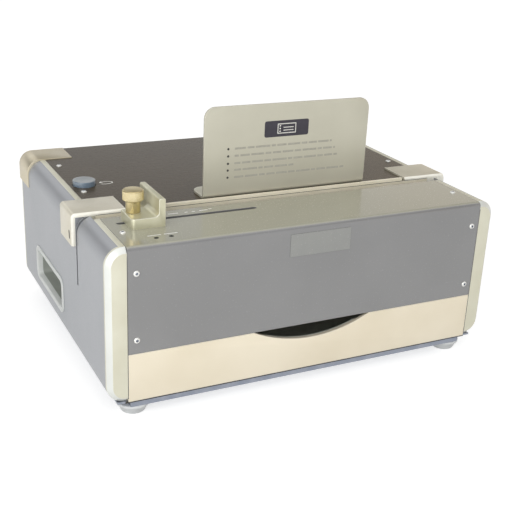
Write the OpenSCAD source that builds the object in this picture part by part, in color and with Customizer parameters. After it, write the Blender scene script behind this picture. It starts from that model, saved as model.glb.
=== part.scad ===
/* [Body] */
// Width over the two side covers
body_w = 440; // [430:1:470]
// Depth from the front face to the rear face
body_d = 342; // [335:1:380]
// Height of the body above its lower edge
body_h = 160; // [155:1:180]
// Width of each side frame
frame_w = 20; // [19:0.5:24]
// Width of the lip that shows along the top of each side frame
lip_w = 5.8; // [4:0.1:8]
// Depth of the band at each end of a side frame
band_t = 8; // [7:0.5:12]
// Bevel round the outer edge of a band
bevel = 5; // [3:0.5:6]
// Radius of the outer edges of the sides
corner_r = 18; // [14:0.5:18.5]
// Wall of a side cover
cover_wall = 2.5; // [1.5:0.25:3.5]
// Thickness of the front cover sheet
sheet_t = 2; // [1.5:0.25:3]
// Outer radius of the front cover's bend
bend_r = 4.5; // [3.5:0.5:7]
// Thickness of the rear panel
panel_t = 2; // [1.5:0.25:3]
// Gap round the sheets and the drawer front
seam = 0.4; // [0.2:0.1:1]

/* [Base and feet] */
// Height of the base pan
pan_h = 9; // [7:0.5:14]
// Thickness of the base pan's sheet
pan_t = 2; // [1.5:0.25:3]
// Distance of the pan's wall behind the front face
pan_inset = 5; // [3:0.5:10]
// Width of the pan's rim
pan_rim = 14; // [10:1:16]
// Height of a foot
foot_h = 11; // [8:0.5:16]
// Radius of a foot's rim
foot_rim_r = 17; // [15:0.5:20]
// Radius of a foot where it stands
foot_low_r = 12; // [9:0.5:14]
// Height of a foot's rim
foot_rim_h = 3; // [2:0.5:4]
// Distance of a foot's centre from the side
foot_side = 31.5; // [30:0.5:45]
// Distance of a foot's centre from the front and rear
foot_end = 21; // [20:0.5:45]

/* [Throat] */
// Distance from the front face to the throat's rear wall
throat_back = 99; // [95:1:110]
// Width of the throat's mouth at the top
mouth_w = 15; // [12:0.5:18]
// Width of the throat below its mouth
throat_gap = 4.6; // [4.4:0.1:5.5]
// Depth of the throat below the top
throat_depth = 73; // [70:1:80]
// Depth of the sloping lead-in
ramp_h = 30; // [20:1:35]
// Depth of the notch that the mouth cuts in the side frames
mouth_notch = 10; // [6:1:14]
// Thickness of the throat's back plate
back_t = 3; // [2:0.25:4]

/* [Drawer] */
// Height of the drawer front
drawer_h = 51; // [46:1:56]
// Thickness of the drawer front
drawer_front_t = 4; // [3:0.5:6]
// Depth of the drawer behind the front face
drawer_d = 121; // [100:1:124]
// Wall of the drawer tray
tray_t = 1.5; // [1:0.25:2.5]
// Gap between the tray and the side frames
tray_gap = 16; // [14:1:22]
// Height of the tray's wall
tray_h = 41; // [34:1:42]
// Chord of the finger scoop
scoop_w = 135.5; // [100:0.5:160]
// Depth of the finger scoop
scoop_h = 16.3; // [10:0.1:22]
// Width of a drawer runner
runner_w = 10; // [8:0.5:12]
// Height of a drawer runner
runner_h = 8; // [6:0.5:12]

/* [Deck and brackets] */
// Thickness of the deck plate
deck_t = 3; // [2:0.25:4]
// Thickness of a corner bracket
bracket_t = 4; // [3:0.25:4.5]
// Height of the front brackets and the throat strip above the deck
plate_rise = 2; // [0:0.25:3]
// Width of a corner bracket along the side
bracket_d = 42.5; // [36:0.5:50]
// Distance of a bracket's inner end from the inside of the frame
bracket_in = 32; // [26:1:40]
// Height of a bracket's flange on the side
bracket_flange = 32; // [28:1:40]
// Outer radius of a bracket's bend
bracket_r = 4; // [3:0.5:6]
// Width of the slotted hole in a bracket
bracket_slot_w = 4.2; // [3.6:0.1:5]
// Length of the slotted hole in a bracket
bracket_slot_l = 10; // [8:0.5:12]
// Distance of the slotted hole from the bracket's edge
bracket_slot_y = 10; // [8:0.5:14]
// Height of the slotted hole's centre below the top
bracket_slot_z = 22; // [21:0.5:26]
// Height of a rear bracket above the deck and the side
wrap_proud = 1; // [0.5:0.25:2]
// Outer radius of a rear bracket's bend
wrap_r = 15.5; // [14:0.5:17]

/* [Backrest] */
// Width of the backrest plate
rest_w = 196; // [150:1:230]
// Height of the backrest plate above the deck
rest_h = 97.5; // [70:0.5:130]
// Thickness of the backrest plate
rest_t = 3; // [2:0.25:4]
// Offset of the backrest plate to the right
rest_x = 16.5; // [-20:0.5:30]
// Distance of the backrest plate behind the throat
rest_y = 6; // [4:0.5:12]
// Depth of the backrest's foot
rest_foot = 35; // [24:1:45]
// Radius of the backrest's top corners
rest_r = 12; // [6:0.5:20]

/* [Edge guide] */
// Distance of the guide slot from the front face
slot_y = 64.5; // [58:0.5:68]
// Width of the guide slot
slot_w = 5.6; // [5.4:0.1:6.5]
// Distance of the slot's left end from the inside of the frame
slot_left = 11; // [8:0.5:14]
// Distance of the slot's right end from the inside of the left frame
slot_right = 161; // [140:1:200]
// Distance of the guide's screw from the inside of the left frame
guide_x = 28; // [26:0.5:40]
// Width of the guide's base to the left of the screw
guide_left = 9; // [8:0.5:10]
// Width of the guide's base to the right of the screw
guide_right = 25; // [20:0.5:30]
// Distance of the guide's front face from the screw
guide_front = 22.8; // [16:0.1:23]
// Distance of the guide's base from the screw to its rear
guide_rear = 10.5; // [9:0.5:14]
// Height of the guide's base
guide_base_h = 10.5; // [8:0.5:14]
// Height of the guide's upright
guide_h = 28.5; // [24:0.5:36]
// Thickness of the guide's upright
upright_t = 6.5; // [5:0.25:8]
// Fillet between the guide's base and upright
guide_fillet = 5; // [3:0.5:6]
// Radius of the guide's outer front corner
guide_corner = 4; // [2:0.5:6]
// Radius of the thumb screw's head
thumb_r = 10.4; // [9.5:0.1:12]
// Height of the thumb screw's head
thumb_h = 10.7; // [8:0.1:14]
// Radius of the thumb screw's neck
thumb_neck_r = 7.3; // [6:0.1:8]
// Height of the thumb screw's neck
thumb_neck_h = 12; // [8:0.5:16]
// Radius of the thumb screw's stem
stem_r = 2.45; // [2:0.05:2.6]

/* [Button and lenses] */
// Radius of the push button
button_r = 12.2; // [10:0.1:12.4]
// Height of the push button above the deck
button_h = 5.5; // [4.5:0.1:8]
// Travel of the push button
button_travel = 3; // [1.5:0.5:3.5]
// Distance of the button's centre from the inside of the frame
button_side = 16.5; // [16.2:0.1:24]
// Distance of the button's centre from the front face
button_y = 194; // [190:1:215]
// Radius of an indicator lens
lens_r = 2.5; // [2:0.1:3]
// Distance of the lenses from the front face
lens_y = 16.3; // [14:0.1:22]
// Distance of the first lens from the inside of the left frame
lens_x = 34.2; // [25:0.1:50]
// Distance between the lenses
lens_step = 14.9; // [12:0.1:20]

/* [Hand grips] */
// Length of a grip's opening
grip_l = 106; // [90:1:112]
// Height of a grip's opening
grip_h = 31; // [28:1:34]
// Radius of the opening's corners
grip_r = 5; // [3:0.5:8]
// Depth of a grip's pocket
grip_depth = 28; // [24:1:30]
// Wall of a grip's pocket
grip_wall = 2; // [1.5:0.25:3]
// Width of a grip's bezel
grip_bezel = 5.5; // [4:0.5:7]
// Height of a grip's bezel above the side cover
grip_proud = 1.2; // [0.8:0.1:2]
// Distance of a grip's centre from the front face
grip_y = 214.5; // [205:0.5:225]
// Height of a grip's centre above the body's lower edge
grip_z = 47.7; // [44:0.1:52]

/* [Screws] */
// Radius of a case screw's head
screw_head_r = 3; // [2.6:0.1:3.5]
// Height of a case screw's head
screw_head_h = 1.6; // [1.2:0.1:2]
// Radius of a case screw's shank
screw_r = 1.5; // [1.2:0.05:1.8]
// Length of a case screw's shank
screw_l = 5.5; // [4:0.5:6]
// Distance of a case screw from the inside of the frame
screw_side = 9; // [7:0.5:10]
// Height of the lower front screws above the body's lower edge
screw_low = 65.5; // [64:0.5:80]
// Height of the upper front screws above the body's lower edge
screw_high = 134; // [110:0.5:140]
// Distance of the top screws from the front face
screw_top_y = 39; // [30:0.5:60]
// Distance of the first deck screws from the front face
screw_deck_1 = 169; // [160:1:175]
// Distance of the second deck screws from the rear face
screw_deck_2 = 72; // [60:1:90]
// Distance between the backrest's screws
screw_rest = 130; // [90:1:150]

/* [Punch] */
// Distance between punch pins
pin_pitch = 12.7; // [11:0.1:20]
// Radius of a punch pin
pin_r = 2; // [1.5:0.1:2.4]
// Height of the pins above the throat's bottom
pin_edge = 6.5; // [5:0.5:8]
// Throw of the eccentrics
throw = 4.5; // [4.2:0.1:5]
// Running clearance of shafts, rods and pins
running = 0.05; // [0.02:0.01:0.09]
// Thickness of the die plate
die_t = 12; // [9:0.5:14]
// Height of the die plate
die_h = 32; // [28:1:36]
// Height of the die plate below the pins
die_low = 14.5; // [12:0.5:16]
// Thickness of the stripper plate
strip_t = 12; // [10:0.5:14]
// Thickness of the ram bar
ram_t = 16; // [14:0.5:20]
// Height of the ram bar
ram_h = 37; // [32:1:40]
// Thickness of the pin retainer
retainer_t = 6; // [5:0.5:8]
// Radius of a guide rod
rod_r = 5; // [4:0.25:5.5]
// Wall of a ram bush
bush_wall = 2; // [1.5:0.25:2]
// Thickness of a yoke and of an eccentric
yoke_t = 12; // [8:0.5:16]
// Wall of a yoke
yoke_wall = 9; // [7:0.5:12]
// Distance of the eccentrics from the middle
ecc_x = 110; // [80:1:120]
// Radius of an eccentric
ecc_r = 18; // [16.5:0.5:20]
// Gap between an eccentric and its yoke
ecc_gap = 1.3; // [1.2:0.1:2]
// Radius of the eccentric shaft
shaft_r = 10; // [8:0.5:11]
// Outer radius of a shaft bearing
bearing_r = 21; // [18:0.5:24]
// Thickness of a mechanism plate
mech_t = 8; // [6:0.5:9]

/* [Drive] */
// Module of the gears
gear_m = 1.5; // [1.4:0.05:1.5]
// Teeth of the main gear
gear_teeth = 72; // [66:1:72]
// Teeth of the drive pinion
pinion_teeth = 15; // [15:2:17]
// Width of the gears
gear_t = 10; // [8:0.5:10]
// Radius of the gear motor's gearbox
gearbox_r = 28; // [24:0.5:28]
// Length of the gearbox
gearbox_l = 45; // [30:1:55]
// Radius of the motor can
can_r = 22; // [18:0.5:26]
// Length of the motor can
can_l = 75; // [50:1:90]
// Radius of the motor's output shaft
output_r = 5; // [4:0.25:5.5]
// Thickness of the motor bracket
motor_plate = 5; // [4:0.5:6]

/* [Hidden] */
$fn = 64;

// Extra length that makes a cut run past a face
past = 1;

// Main planes
z_pan = foot_h;
z_floor = foot_h + pan_t;
z_low = foot_h + pan_h;
z_top = z_low + body_h;
y_front = -body_d / 2;
y_rear = body_d / 2;
x_out = body_w / 2;
x_in = x_out - frame_w;

// Throat planes
y_back = y_front + throat_back;
y_gap = y_back - throat_gap;
y_mouth = y_back - mouth_w;
z_throat = z_top - throat_depth;
z_pin = z_throat + pin_edge;
z_die = z_pin - die_low;
z_die_top = z_die + die_h;

// Rails on the inside of the side frames carry the sheets
rail_w = 16;
rail_t = 4;
rail_gap = 2;
x_rail = x_in - rail_w;
x_screw = x_in - screw_side;
z_sheet = z_top - sheet_t;
z_deck = z_top - deck_t;
screw_clear = 0.2;

// Brackets
x_bracket = x_in - bracket_in;
x_flange = x_out + bracket_t;
z_bracket = z_top - bracket_t;
z_plate = z_top + plate_rise;
z_under = z_plate - bracket_t;
y_bracket_rear = y_rear - bracket_d;
z_wrap = z_top - bracket_flange;
strip_gap = 3.5;
wing_h = 18;

// Drawer
z_drawer = z_low + seam;
drawer_gap = 6;
y_tray = y_front + drawer_front_t;
y_tray_end = y_front + drawer_d;
x_tray = x_in - tray_gap;
tray_rise = 2.6;
z_tray = z_drawer + tray_rise;
z_runner = z_tray + tray_h - tray_t;
flange_w = 11;
runner_start = 5;
drawer_screw_r = 1.5;
drawer_screw_x = 110;

// Edge guide
y_slot = y_front + slot_y;
x_slot_left = slot_left + slot_w / 2 - x_in;
x_slot_right = slot_right - slot_w / 2 - x_in;
x_guide = guide_x - x_in;
guide_shy = 1;
stem_play = 0.05;
nut_w = 16;
nut_d = 12;
nut_h = 5;
nut_gap = 0.2;

// Push button
x_button = -(x_in - button_side);
y_button = y_front + button_y;
button_play = 0.6;
cup_wall = 2.2;
cup_h = 18;
cup_floor = 3;
button_skirt = 6;
button_stem_r = 4;
button_edge = 1.2;

// Hand grips
y_grip = y_front + grip_y;
z_grip = z_low + grip_z;
x_pocket = x_out - grip_depth - grip_wall;

// Mechanism along x
mech_gap = 6;
gear_gap = 5;
ram_gap = 2.5;
rod_inset = 8;
x_mech_out = x_pocket - mech_gap;
x_mech = x_mech_out - mech_t;
x_gear = x_mech - gear_gap - gear_t;
ram_half = x_gear - ram_gap;
x_rod = ram_half - rod_inset;

// Mechanism along y
stroke = 2 * throw;
nose_gap = 1;
pin_rest = 0.5;
y_strip = y_back + strip_t;
y_ram = y_strip + stroke + nose_gap;
y_retainer = y_ram + ram_t;
y_yoke = y_retainer + retainer_t;
y_shaft = y_yoke + yoke_wall + ecc_r + ecc_gap - throw;
z_shaft = z_pin;
mech_nose = 12;
mech_tail = 40;
mech_rise = 37;
mech_over = 5;
y_mech_front = y_gap - die_t - mech_nose;
y_mech_leg = y_tray_end + drawer_gap;
y_mech_rear = y_shaft + mech_tail;
z_mech_front = z_low + drawer_h + mech_over;
z_mech_top = z_pin + mech_rise;
mech_foot_w = 14;
mech_foot_h = 4;
bush_r = rod_r + running + bush_wall;
rod_tail = 10;
pin_head_step = 1.2;
pin_head_r = pin_r + pin_head_step;
pin_head_h = 3;
pin_side = floor((x_rod - bush_r - pin_head_r) / pin_pitch);

// Drive
pressure = 20;
addendum = 0.9;
dedendum = 1.25;
backlash = 0.16;
gear_distance = gear_m * (gear_teeth + pinion_teeth) / 2;
y_motor = y_shaft + gear_distance;
x_gearbox = x_gear - ram_gap - motor_plate;

// Rear panel fittings
inlet_side = 60;
inlet_x = x_in - inlet_side;
inlet_rise = 45;
inlet_z = z_low + inlet_rise;
inlet_w = 28;
inlet_h = 22;
inlet_rim = 3.5;
inlet_d = 26;
rocker_step = 44;
rocker_x = inlet_x - rocker_step;
rocker_w = 22;
rocker_h = 28;
rocker_rim = 2.5;
rocker_d = 22;
rocker_play = 0.4;
rocker_wall = 3;
rocker_rise = 1.2;
rocker_pin_r = 1.5;
rim_t = 1.4;

champagne = "#C2BEAA";
cream = "#E8DFC8";
side_grey = "#B9BABF";
front_grey = "#919191";
deck_brown = "#6A645E";
steel = "#9A9CA0";
dark_plastic = "#2E3034";

// One child, and its mirror image on the other side
module both_sides() {
  children();
  mirror([1, 0, 0]) children();
}

// A flat x-z outline carried along y
module along_y(y1, y2) {
  translate([0, y2, 0]) rotate([90, 0, 0]) linear_extrude(y2 - y1) children();
}

// A flat y-z outline carried along x
module along_x(x1, x2) {
  translate([x1, 0, 0]) rotate([90, 0, 90]) linear_extrude(x2 - x1) children();
}

// A round bar along y
module rod_y(x, z, y1, y2, r) {
  translate([x, y1, z]) rotate([-90, 0, 0]) cylinder(h = y2 - y1, r = r);
}

// A round bar along x
module rod_x(y, z, x1, x2, r) {
  translate([x1, y, z]) rotate([0, 90, 0]) cylinder(h = x2 - x1, r = r);
}

// A block between two corners
module block(low, high) {
  translate(low) cube(high - low);
}

// A rectangle with round corners, about its centre
module round_rect(w, h, r) {
  square([w - 2 * r, h], center = true);
  square([w, h - 2 * r], center = true);
  for (sx = [-1, 1], sy = [-1, 1]) translate([sx * (w / 2 - r), sy * (h / 2 - r)]) circle(r);
}

// Outline of one side in the x-z plane, drawn in from its outer face
module side_outline(inset) {
  r = corner_r - inset;
  translate([x_in, z_low + inset]) square([frame_w - inset - r, body_h - 2 * inset]);
  translate([x_in, z_low + inset + r]) square([frame_w - inset, body_h - 2 * inset - 2 * r]);
  for (z = [z_low + corner_r, z_top - corner_r]) translate([x_out - corner_r, z]) circle(r);
}

// The bevelled end of a side frame, with its bevel towards -y
module band_front() {
  along_y(y_front + bevel, y_front + band_t) side_outline(0);
  for (z = [z_low + corner_r, z_top - corner_r]) {
    translate([x_out - corner_r, y_front, z]) rotate([-90, 0, 0])
      cylinder(h = bevel, r1 = corner_r - bevel, r2 = corner_r);
  }
  translate([0, 0, z_low + corner_r]) linear_extrude(body_h - 2 * corner_r) polygon([
    [x_in, y_front], [x_out - bevel, y_front], [x_out, y_front + bevel], [x_in, y_front + bevel]
  ]);
  along_x(x_in, x_out - corner_r) polygon([
    [y_front, z_low + bevel], [y_front + bevel, z_low],
    [y_front + bevel, z_top], [y_front, z_top - bevel]
  ]);
}

// Cuts that the throat and the front bracket make in a side
module side_cuts() {
  block([x_in - rail_w - past, y_gap, z_throat], [x_out + past, y_back, z_top + past]);
  block([x_in - rail_w - past, y_back, z_under], [x_out + past, y_back + bracket_d, z_top + past]);
}

// Section of a rear bracket, drawn in from its outer face
module wrap_outline(inset) {
  r = wrap_r - inset;
  x_end = x_out + wrap_proud - inset;
  z_end = z_top + wrap_proud - inset;
  translate([x_bracket, z_wrap]) square([x_end - r - x_bracket, z_end - z_wrap]);
  translate([x_bracket, z_wrap]) square([x_end - x_bracket, z_end - r - z_wrap]);
  translate([x_end - r, z_end - r]) circle(r);
}

// Space round the seat of a rear bracket
module wrap_cut() {
  difference() {
    block([x_in - rail_w - past, y_bracket_rear, z_wrap], [x_out + past, y_rear + past, z_top + past]);
    along_y(y_bracket_rear - past, y_rear + 2 * past) wrap_outline(bracket_t + wrap_proud);
  }
}

// Opening for a hand grip, drawn out by a margin
module grip_cut(margin, x1, x2) {
  along_x(x1, x2) translate([y_grip, z_grip])
    round_rect(grip_l + 2 * margin, grip_h + 2 * margin, grip_r + margin);
}

// Rails that the sheets are screwed to
module frame_rails() {
  z_rail = z_low + drawer_h + rail_t;
  block([x_rail, y_front + sheet_t, z_rail], [x_in, y_front + sheet_t + rail_t, z_sheet - bend_r]);
  block([x_rail, y_front + sheet_t + bend_r, z_sheet - rail_t],
    [x_in, y_slot - nut_d / 2 - rail_gap, z_sheet]);
  block([x_rail, y_back + bracket_d + rail_gap, z_deck - rail_t],
    [x_in, y_bracket_rear - rail_gap, z_deck]);
  block([x_rail, y_rear - panel_t - rail_t, z_low + rail_t],
    [x_in, y_rear - panel_t, z_bracket - rail_gap]);
}

// Holes for the case screws in the rails
module rail_holes() {
  for (z = [screw_low, screw_high]) {
    rod_y(x_screw, z_low + z, y_front, y_front + sheet_t + rail_t + past, screw_r);
    rod_y(x_screw, z_low + z, y_rear - panel_t - rail_t - past, y_rear, screw_r);
  }
  for (y = [y_front + screw_top_y, y_front + screw_deck_1, y_rear - screw_deck_2]) {
    translate([x_screw, y, z_top - deck_t - rail_t - past])
      cylinder(h = deck_t + rail_t + past, r = screw_r);
  }
}

module side_frame() {
  difference() {
    union() {
      intersection() {
        union() {
          band_front();
          mirror([0, 1, 0]) band_front();
        }
        block([x_in, y_front, z_low], [x_out, y_rear, z_top]);
      }
      intersection() {
        along_y(y_front + band_t, y_rear - band_t) side_outline(0);
        block([x_in, y_front, z_low], [x_in + lip_w, y_rear, z_top]);
      }
      frame_rails();
    }
    side_cuts();
    wrap_cut();
    block([x_in - past, y_mouth, z_top - mouth_notch], [x_in + lip_w + past, y_back, z_top + past]);
    grip_cut(grip_wall, x_in - past, x_in + lip_w + past);
    rail_holes();
    bracket_screw_holes();
  }
}

module bracket_screw_holes() {
  rod_x(y_back + bracket_slot_y, z_top - bracket_slot_z, x_in - past, x_flange,
    bracket_slot_w / 2 - screw_clear);
}

module side_cover() {
  difference() {
    along_y(y_front + band_t, y_rear - band_t) difference() {
      intersection() {
        side_outline(0);
        translate([x_in + lip_w, z_low]) square([frame_w, body_h]);
      }
      side_outline(cover_wall);
    }
    side_cuts();
    block([x_in, y_bracket_rear, z_wrap], [x_out + past, y_rear, z_top + past]);
    grip_cut(grip_wall, x_in, x_out + past);
    bracket_screw_holes();
  }
}

module hand_grip() {
  difference() {
    union() {
      grip_cut(grip_wall, x_pocket, x_out);
      grip_cut(grip_bezel, x_out, x_out + grip_proud);
    }
    grip_cut(0, x_pocket + grip_wall, x_out + grip_proud + past);
  }
}

module base_pan() {
  x_wall = x_in - 2 * pan_t;
  color(steel) difference() {
    union() {
      block([-x_wall, y_front + pan_inset, z_pan], [x_wall, y_rear - pan_inset, z_low]);
      block([-x_wall - pan_rim, y_front + pan_inset - pan_t, z_low - pan_t],
        [x_wall + pan_rim, y_rear - pan_inset + pan_t, z_low]);
    }
    block([pan_t - x_wall, y_front + pan_inset + pan_t, z_floor],
      [x_wall - pan_t, y_rear - pan_inset - pan_t, z_low + past]);
    at_feet() cylinder(h = z_floor + past, r = foot_screw_r);
  }
}

foot_screw_r = 2;
foot_screw_head_r = 4;
foot_screw_head_h = 2.5;
foot_screw_depth = 4;
foot_screw_nut = 2;

module at_feet() {
  for (sx = [-1, 1], sy = [-1, 1]) {
    translate([sx * (x_out - foot_side), sy * (y_rear - foot_end), 0]) children();
  }
}

module feet() {
  color("#CFD2D6") at_feet() difference() {
    union() {
      cylinder(h = foot_h - foot_rim_h, r1 = foot_low_r, r2 = foot_rim_r - 1);
      translate([0, 0, foot_h - foot_rim_h]) cylinder(h = foot_rim_h, r = foot_rim_r);
    }
    translate([0, 0, -past]) cylinder(h = foot_h + 2 * past, r = foot_screw_r);
    translate([0, 0, -past]) cylinder(h = foot_screw_depth + past, r = foot_screw_head_r + screw_clear);
  }
}

module foot_screws() {
  color(steel) at_feet() {
    translate([0, 0, foot_screw_depth]) cylinder(h = foot_h + pan_t + foot_screw_nut - foot_screw_depth,
      r = foot_screw_r);
    translate([0, 0, foot_screw_depth - foot_screw_head_h])
      cylinder(h = foot_screw_head_h, r = foot_screw_head_r);
  }
}

module left_side_frame() {
  color(champagne) difference() {
    mirror([1, 0, 0]) side_frame();
    translate([x_button, y_button, z_deck - cup_h])
      cylinder(h = cup_h + past, r = button_r + button_play + cup_wall + seam);
  }
}

module right_side_frame() {
  color(champagne) side_frame();
}

module left_side_cover() {
  color(side_grey) mirror([1, 0, 0]) side_cover();
}

module right_side_cover() {
  color(side_grey) side_cover();
}

module left_hand_grip() {
  color("#D5D6D2") mirror([1, 0, 0]) hand_grip();
}

module right_hand_grip() {
  color("#D5D6D2") hand_grip();
}

// Bent sheet of the front cover: front, top, lead-in ramp and throat wall
module front_outline() {
  z_end = z_low + drawer_h + seam;
  translate([y_front, z_end]) square([sheet_t, z_top - bend_r - z_end]);
  translate([y_front + bend_r, z_sheet]) square([y_mouth - y_front - bend_r, sheet_t]);
  intersection() {
    translate([y_front + bend_r, z_top - bend_r]) difference() {
      circle(bend_r);
      circle(bend_r - sheet_t);
    }
    translate([y_front, z_top - bend_r]) square(bend_r);
  }
  polygon([
    [y_mouth, z_top], [y_gap, z_top - ramp_h], [y_gap, z_die_top], [y_gap - sheet_t, z_die_top],
    [y_gap - sheet_t, z_top - ramp_h], [y_mouth - sheet_t, z_sheet], [y_mouth - sheet_t, z_top]
  ]);
}

module front_cover() {
  half = x_in - seam;
  color(front_grey) difference() {
    along_x(-half, half) front_outline();
    for (x = [x_slot_left, x_slot_right]) {
      translate([x, y_slot, z_sheet - past]) cylinder(h = sheet_t + 2 * past, r = slot_w / 2);
    }
    block([x_slot_left, y_slot - slot_w / 2, z_sheet - past],
      [x_slot_right, y_slot + slot_w / 2, z_top + past]);
    at_lenses() translate([0, 0, -past]) cylinder(h = sheet_t + 2 * past, r = lens_r);
    at_front_screws() cylinder(h = sheet_t + past, r = screw_r + screw_clear);
  }
}

module at_lenses() {
  for (i = [0, 1]) translate([lens_x - x_in + i * lens_step, y_front + lens_y, z_sheet]) children();
}

module indicator_lenses() {
  lens_flange = 1.5;
  color("#303530") at_lenses() {
    cylinder(h = sheet_t, r = lens_r);
    translate([0, 0, -lens_flange]) cylinder(h = lens_flange, r = lens_r + lens_flange);
  }
}

// Screws of the front cover, with z along the shank
module at_front_screws() {
  both_sides() {
    for (z = [screw_low, screw_high]) {
      translate([x_screw, y_front, z_low + z]) rotate([-90, 0, 0]) children();
    }
    translate([x_screw, y_front + screw_top_y, z_top]) rotate([180, 0, 0]) children();
  }
}

// Screws of the deck plate
module at_deck_screws() {
  both_sides() for (y = [y_front + screw_deck_1, y_rear - screw_deck_2]) {
    translate([x_screw, y, z_top]) rotate([180, 0, 0]) children();
  }
}

// Screws of the rear panel
module at_rear_screws() {
  both_sides() for (z = [screw_low, screw_high]) {
    translate([x_screw, y_rear, z_low + z]) rotate([90, 0, 0]) children();
  }
}

// Screws of the backrest's foot
module at_rest_screws() {
  for (s = [-1, 1]) {
    translate([rest_x + s * screw_rest / 2, y_back + rest_y + rest_foot / 2, z_top + rest_t])
      rotate([180, 0, 0]) children();
  }
}

// A small round-headed socket screw, its head below z = 0
module case_screw() {
  socket_r = screw_head_r * 0.4;
  edge = screw_head_h * 0.4;
  cylinder(h = screw_l, r = screw_r);
  difference() {
    union() {
      translate([0, 0, edge - screw_head_h]) cylinder(h = screw_head_h - edge, r = screw_head_r);
      translate([0, 0, -screw_head_h]) cylinder(h = edge, r1 = screw_head_r - edge, r2 = screw_head_r);
    }
    translate([0, 0, -screw_head_h - past]) cylinder(h = past + screw_head_h / 2, r = socket_r, $fn = 6);
  }
}

module case_screws() {
  color(steel) {
    at_front_screws() case_screw();
    at_deck_screws() case_screw();
    at_rear_screws() case_screw();
    at_rest_screws() case_screw();
  }
}

// Section of the edge guide across its length: base, upright and fillet
module guide_outline() {
  x_up = guide_right - upright_t;
  top_r = upright_t / 4;
  translate([-guide_left, 0]) square([guide_left + guide_right, guide_base_h]);
  upright_outline(top_r);
  difference() {
    translate([x_up - guide_fillet, guide_base_h]) square(guide_fillet);
    translate([x_up - guide_fillet, guide_base_h + guide_fillet]) circle(guide_fillet);
  }
}

module upright_outline(top_r) {
  x_up = guide_right - upright_t;
  translate([x_up, 0]) square([upright_t, guide_h - top_r]);
  translate([x_up + top_r, 0]) square([upright_t - 2 * top_r, guide_h]);
  for (x = [x_up + top_r, guide_right - top_r]) translate([x, guide_h - top_r]) circle(top_r);
}

module edge_guide() {
  color(champagne) difference() {
    translate([x_guide, 0, z_top]) {
      along_y(y_slot - guide_front, y_slot + guide_rear) guide_outline();
      along_y(y_slot + guide_rear, y_back - guide_shy) upright_outline(upright_t / 4);
    }
    translate([x_guide, y_slot, z_top - past]) cylinder(h = guide_base_h + 2 * past, r = stem_r + running);
    translate([x_guide - guide_left, y_slot - guide_front, z_top - past]) difference() {
      translate([-past, -past, 0]) cube([guide_corner + past, guide_corner + past, guide_base_h + 2 * past]);
      translate([guide_corner, guide_corner, -past]) cylinder(h = guide_base_h + 4 * past, r = guide_corner);
    }
  }
}

module clamp_nut() {
  z_nut = z_sheet - nut_gap - nut_h;
  color(steel) difference() {
    translate([x_guide - nut_w / 2, y_slot - nut_d / 2, z_nut]) cube([nut_w, nut_d, nut_h]);
    translate([x_guide, y_slot, z_nut - past]) cylinder(h = nut_h + 2 * past, r = stem_r + running);
  }
}

module thumb_screw() {
  edge = 1;
  z_neck = z_top + guide_base_h;
  z_head = z_neck + thumb_neck_h;
  z_stem = z_sheet - nut_gap - nut_h;
  color("#D8C28C") translate([x_guide, y_slot, 0]) {
    translate([0, 0, z_stem]) cylinder(h = z_neck - z_stem, r = stem_r);
    translate([0, 0, z_neck]) cylinder(h = thumb_neck_h, r = thumb_neck_r);
    translate([0, 0, z_head]) cylinder(h = edge, r1 = thumb_r - edge, r2 = thumb_r);
    translate([0, 0, z_head + edge]) cylinder(h = thumb_h - 2 * edge, r = thumb_r);
    translate([0, 0, z_head + thumb_h - edge]) cylinder(h = edge, r1 = thumb_r, r2 = thumb_r - edge);
  }
}

// Radius of the arc with the scoop's chord and depth
scoop_r = (scoop_w * scoop_w / 4 + scoop_h * scoop_h) / (2 * scoop_h);

module drawer_front() {
  half = x_in - seam;
  z_end = z_low + drawer_h;
  color(cream) difference() {
    block([-half, y_front, z_drawer], [half, y_tray, z_end]);
    rod_y(0, z_end - scoop_h + scoop_r, y_front - past, y_tray + past, scoop_r);
    at_drawer_screws() translate([0, 0, -tray_t])
      cylinder(h = tray_t + drawer_front_t / 2, r = drawer_screw_r);
  }
}

// Screws from the tray into the drawer front, with z towards -y
module at_drawer_screws() {
  for (sx = [-1, 1], z = [z_tray + tray_h / 4, z_tray + tray_h / 2]) {
    translate([sx * drawer_screw_x, y_tray, z]) rotate([90, 0, 0]) children();
  }
}

module drawer_screws() {
  head_h = 1.5;
  color(steel) at_drawer_screws() {
    translate([0, 0, -tray_t]) cylinder(h = tray_t + drawer_front_t / 2, r = drawer_screw_r);
    translate([0, 0, -tray_t - head_h]) cylinder(h = head_h, r = 2 * drawer_screw_r);
  }
}

module drawer_tray() {
  z_end = z_tray + tray_h;
  color("#C9CBCE") difference() {
    union() {
      block([-x_tray, y_tray, z_tray], [x_tray, y_tray_end, z_end]);
      block([-x_tray - flange_w, y_tray + runner_start, z_end - tray_t],
        [x_tray + flange_w, y_tray_end, z_end]);
    }
    block([tray_t - x_tray, y_tray + tray_t, z_tray + tray_t],
      [x_tray - tray_t, y_tray_end - tray_t, z_end + past]);
    rod_y(0, z_low + drawer_h - scoop_h + scoop_r, y_tray - past, y_tray + tray_t + past, scoop_r);
    at_drawer_screws() translate([0, 0, -tray_t - past])
      cylinder(h = tray_t + 2 * past, r = drawer_screw_r);
  }
}

module drawer_runners() {
  color(steel) both_sides() {
    block([x_in - runner_w, y_tray + runner_start, z_runner - runner_h], [x_in, y_tray_end, z_runner]);
  }
}

module deck_plate() {
  half = x_in - seam;
  color(deck_brown) difference() {
    block([-half, y_back + back_t, z_deck], [half, y_rear, z_top]);
    both_sides() for (y = [y_back, y_bracket_rear]) {
      block([x_bracket - seam, y - seam, z_deck - past],
        [x_in, y + bracket_d + seam, z_top + past]);
    }
    translate([x_button, y_button, z_deck - past])
      cylinder(h = deck_t + 2 * past, r = button_r + button_play);
    at_deck_screws() cylinder(h = deck_t + past, r = screw_r + screw_clear);
    at_rest_screws() cylinder(h = screw_l + past, r = screw_r);
  }
}

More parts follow.
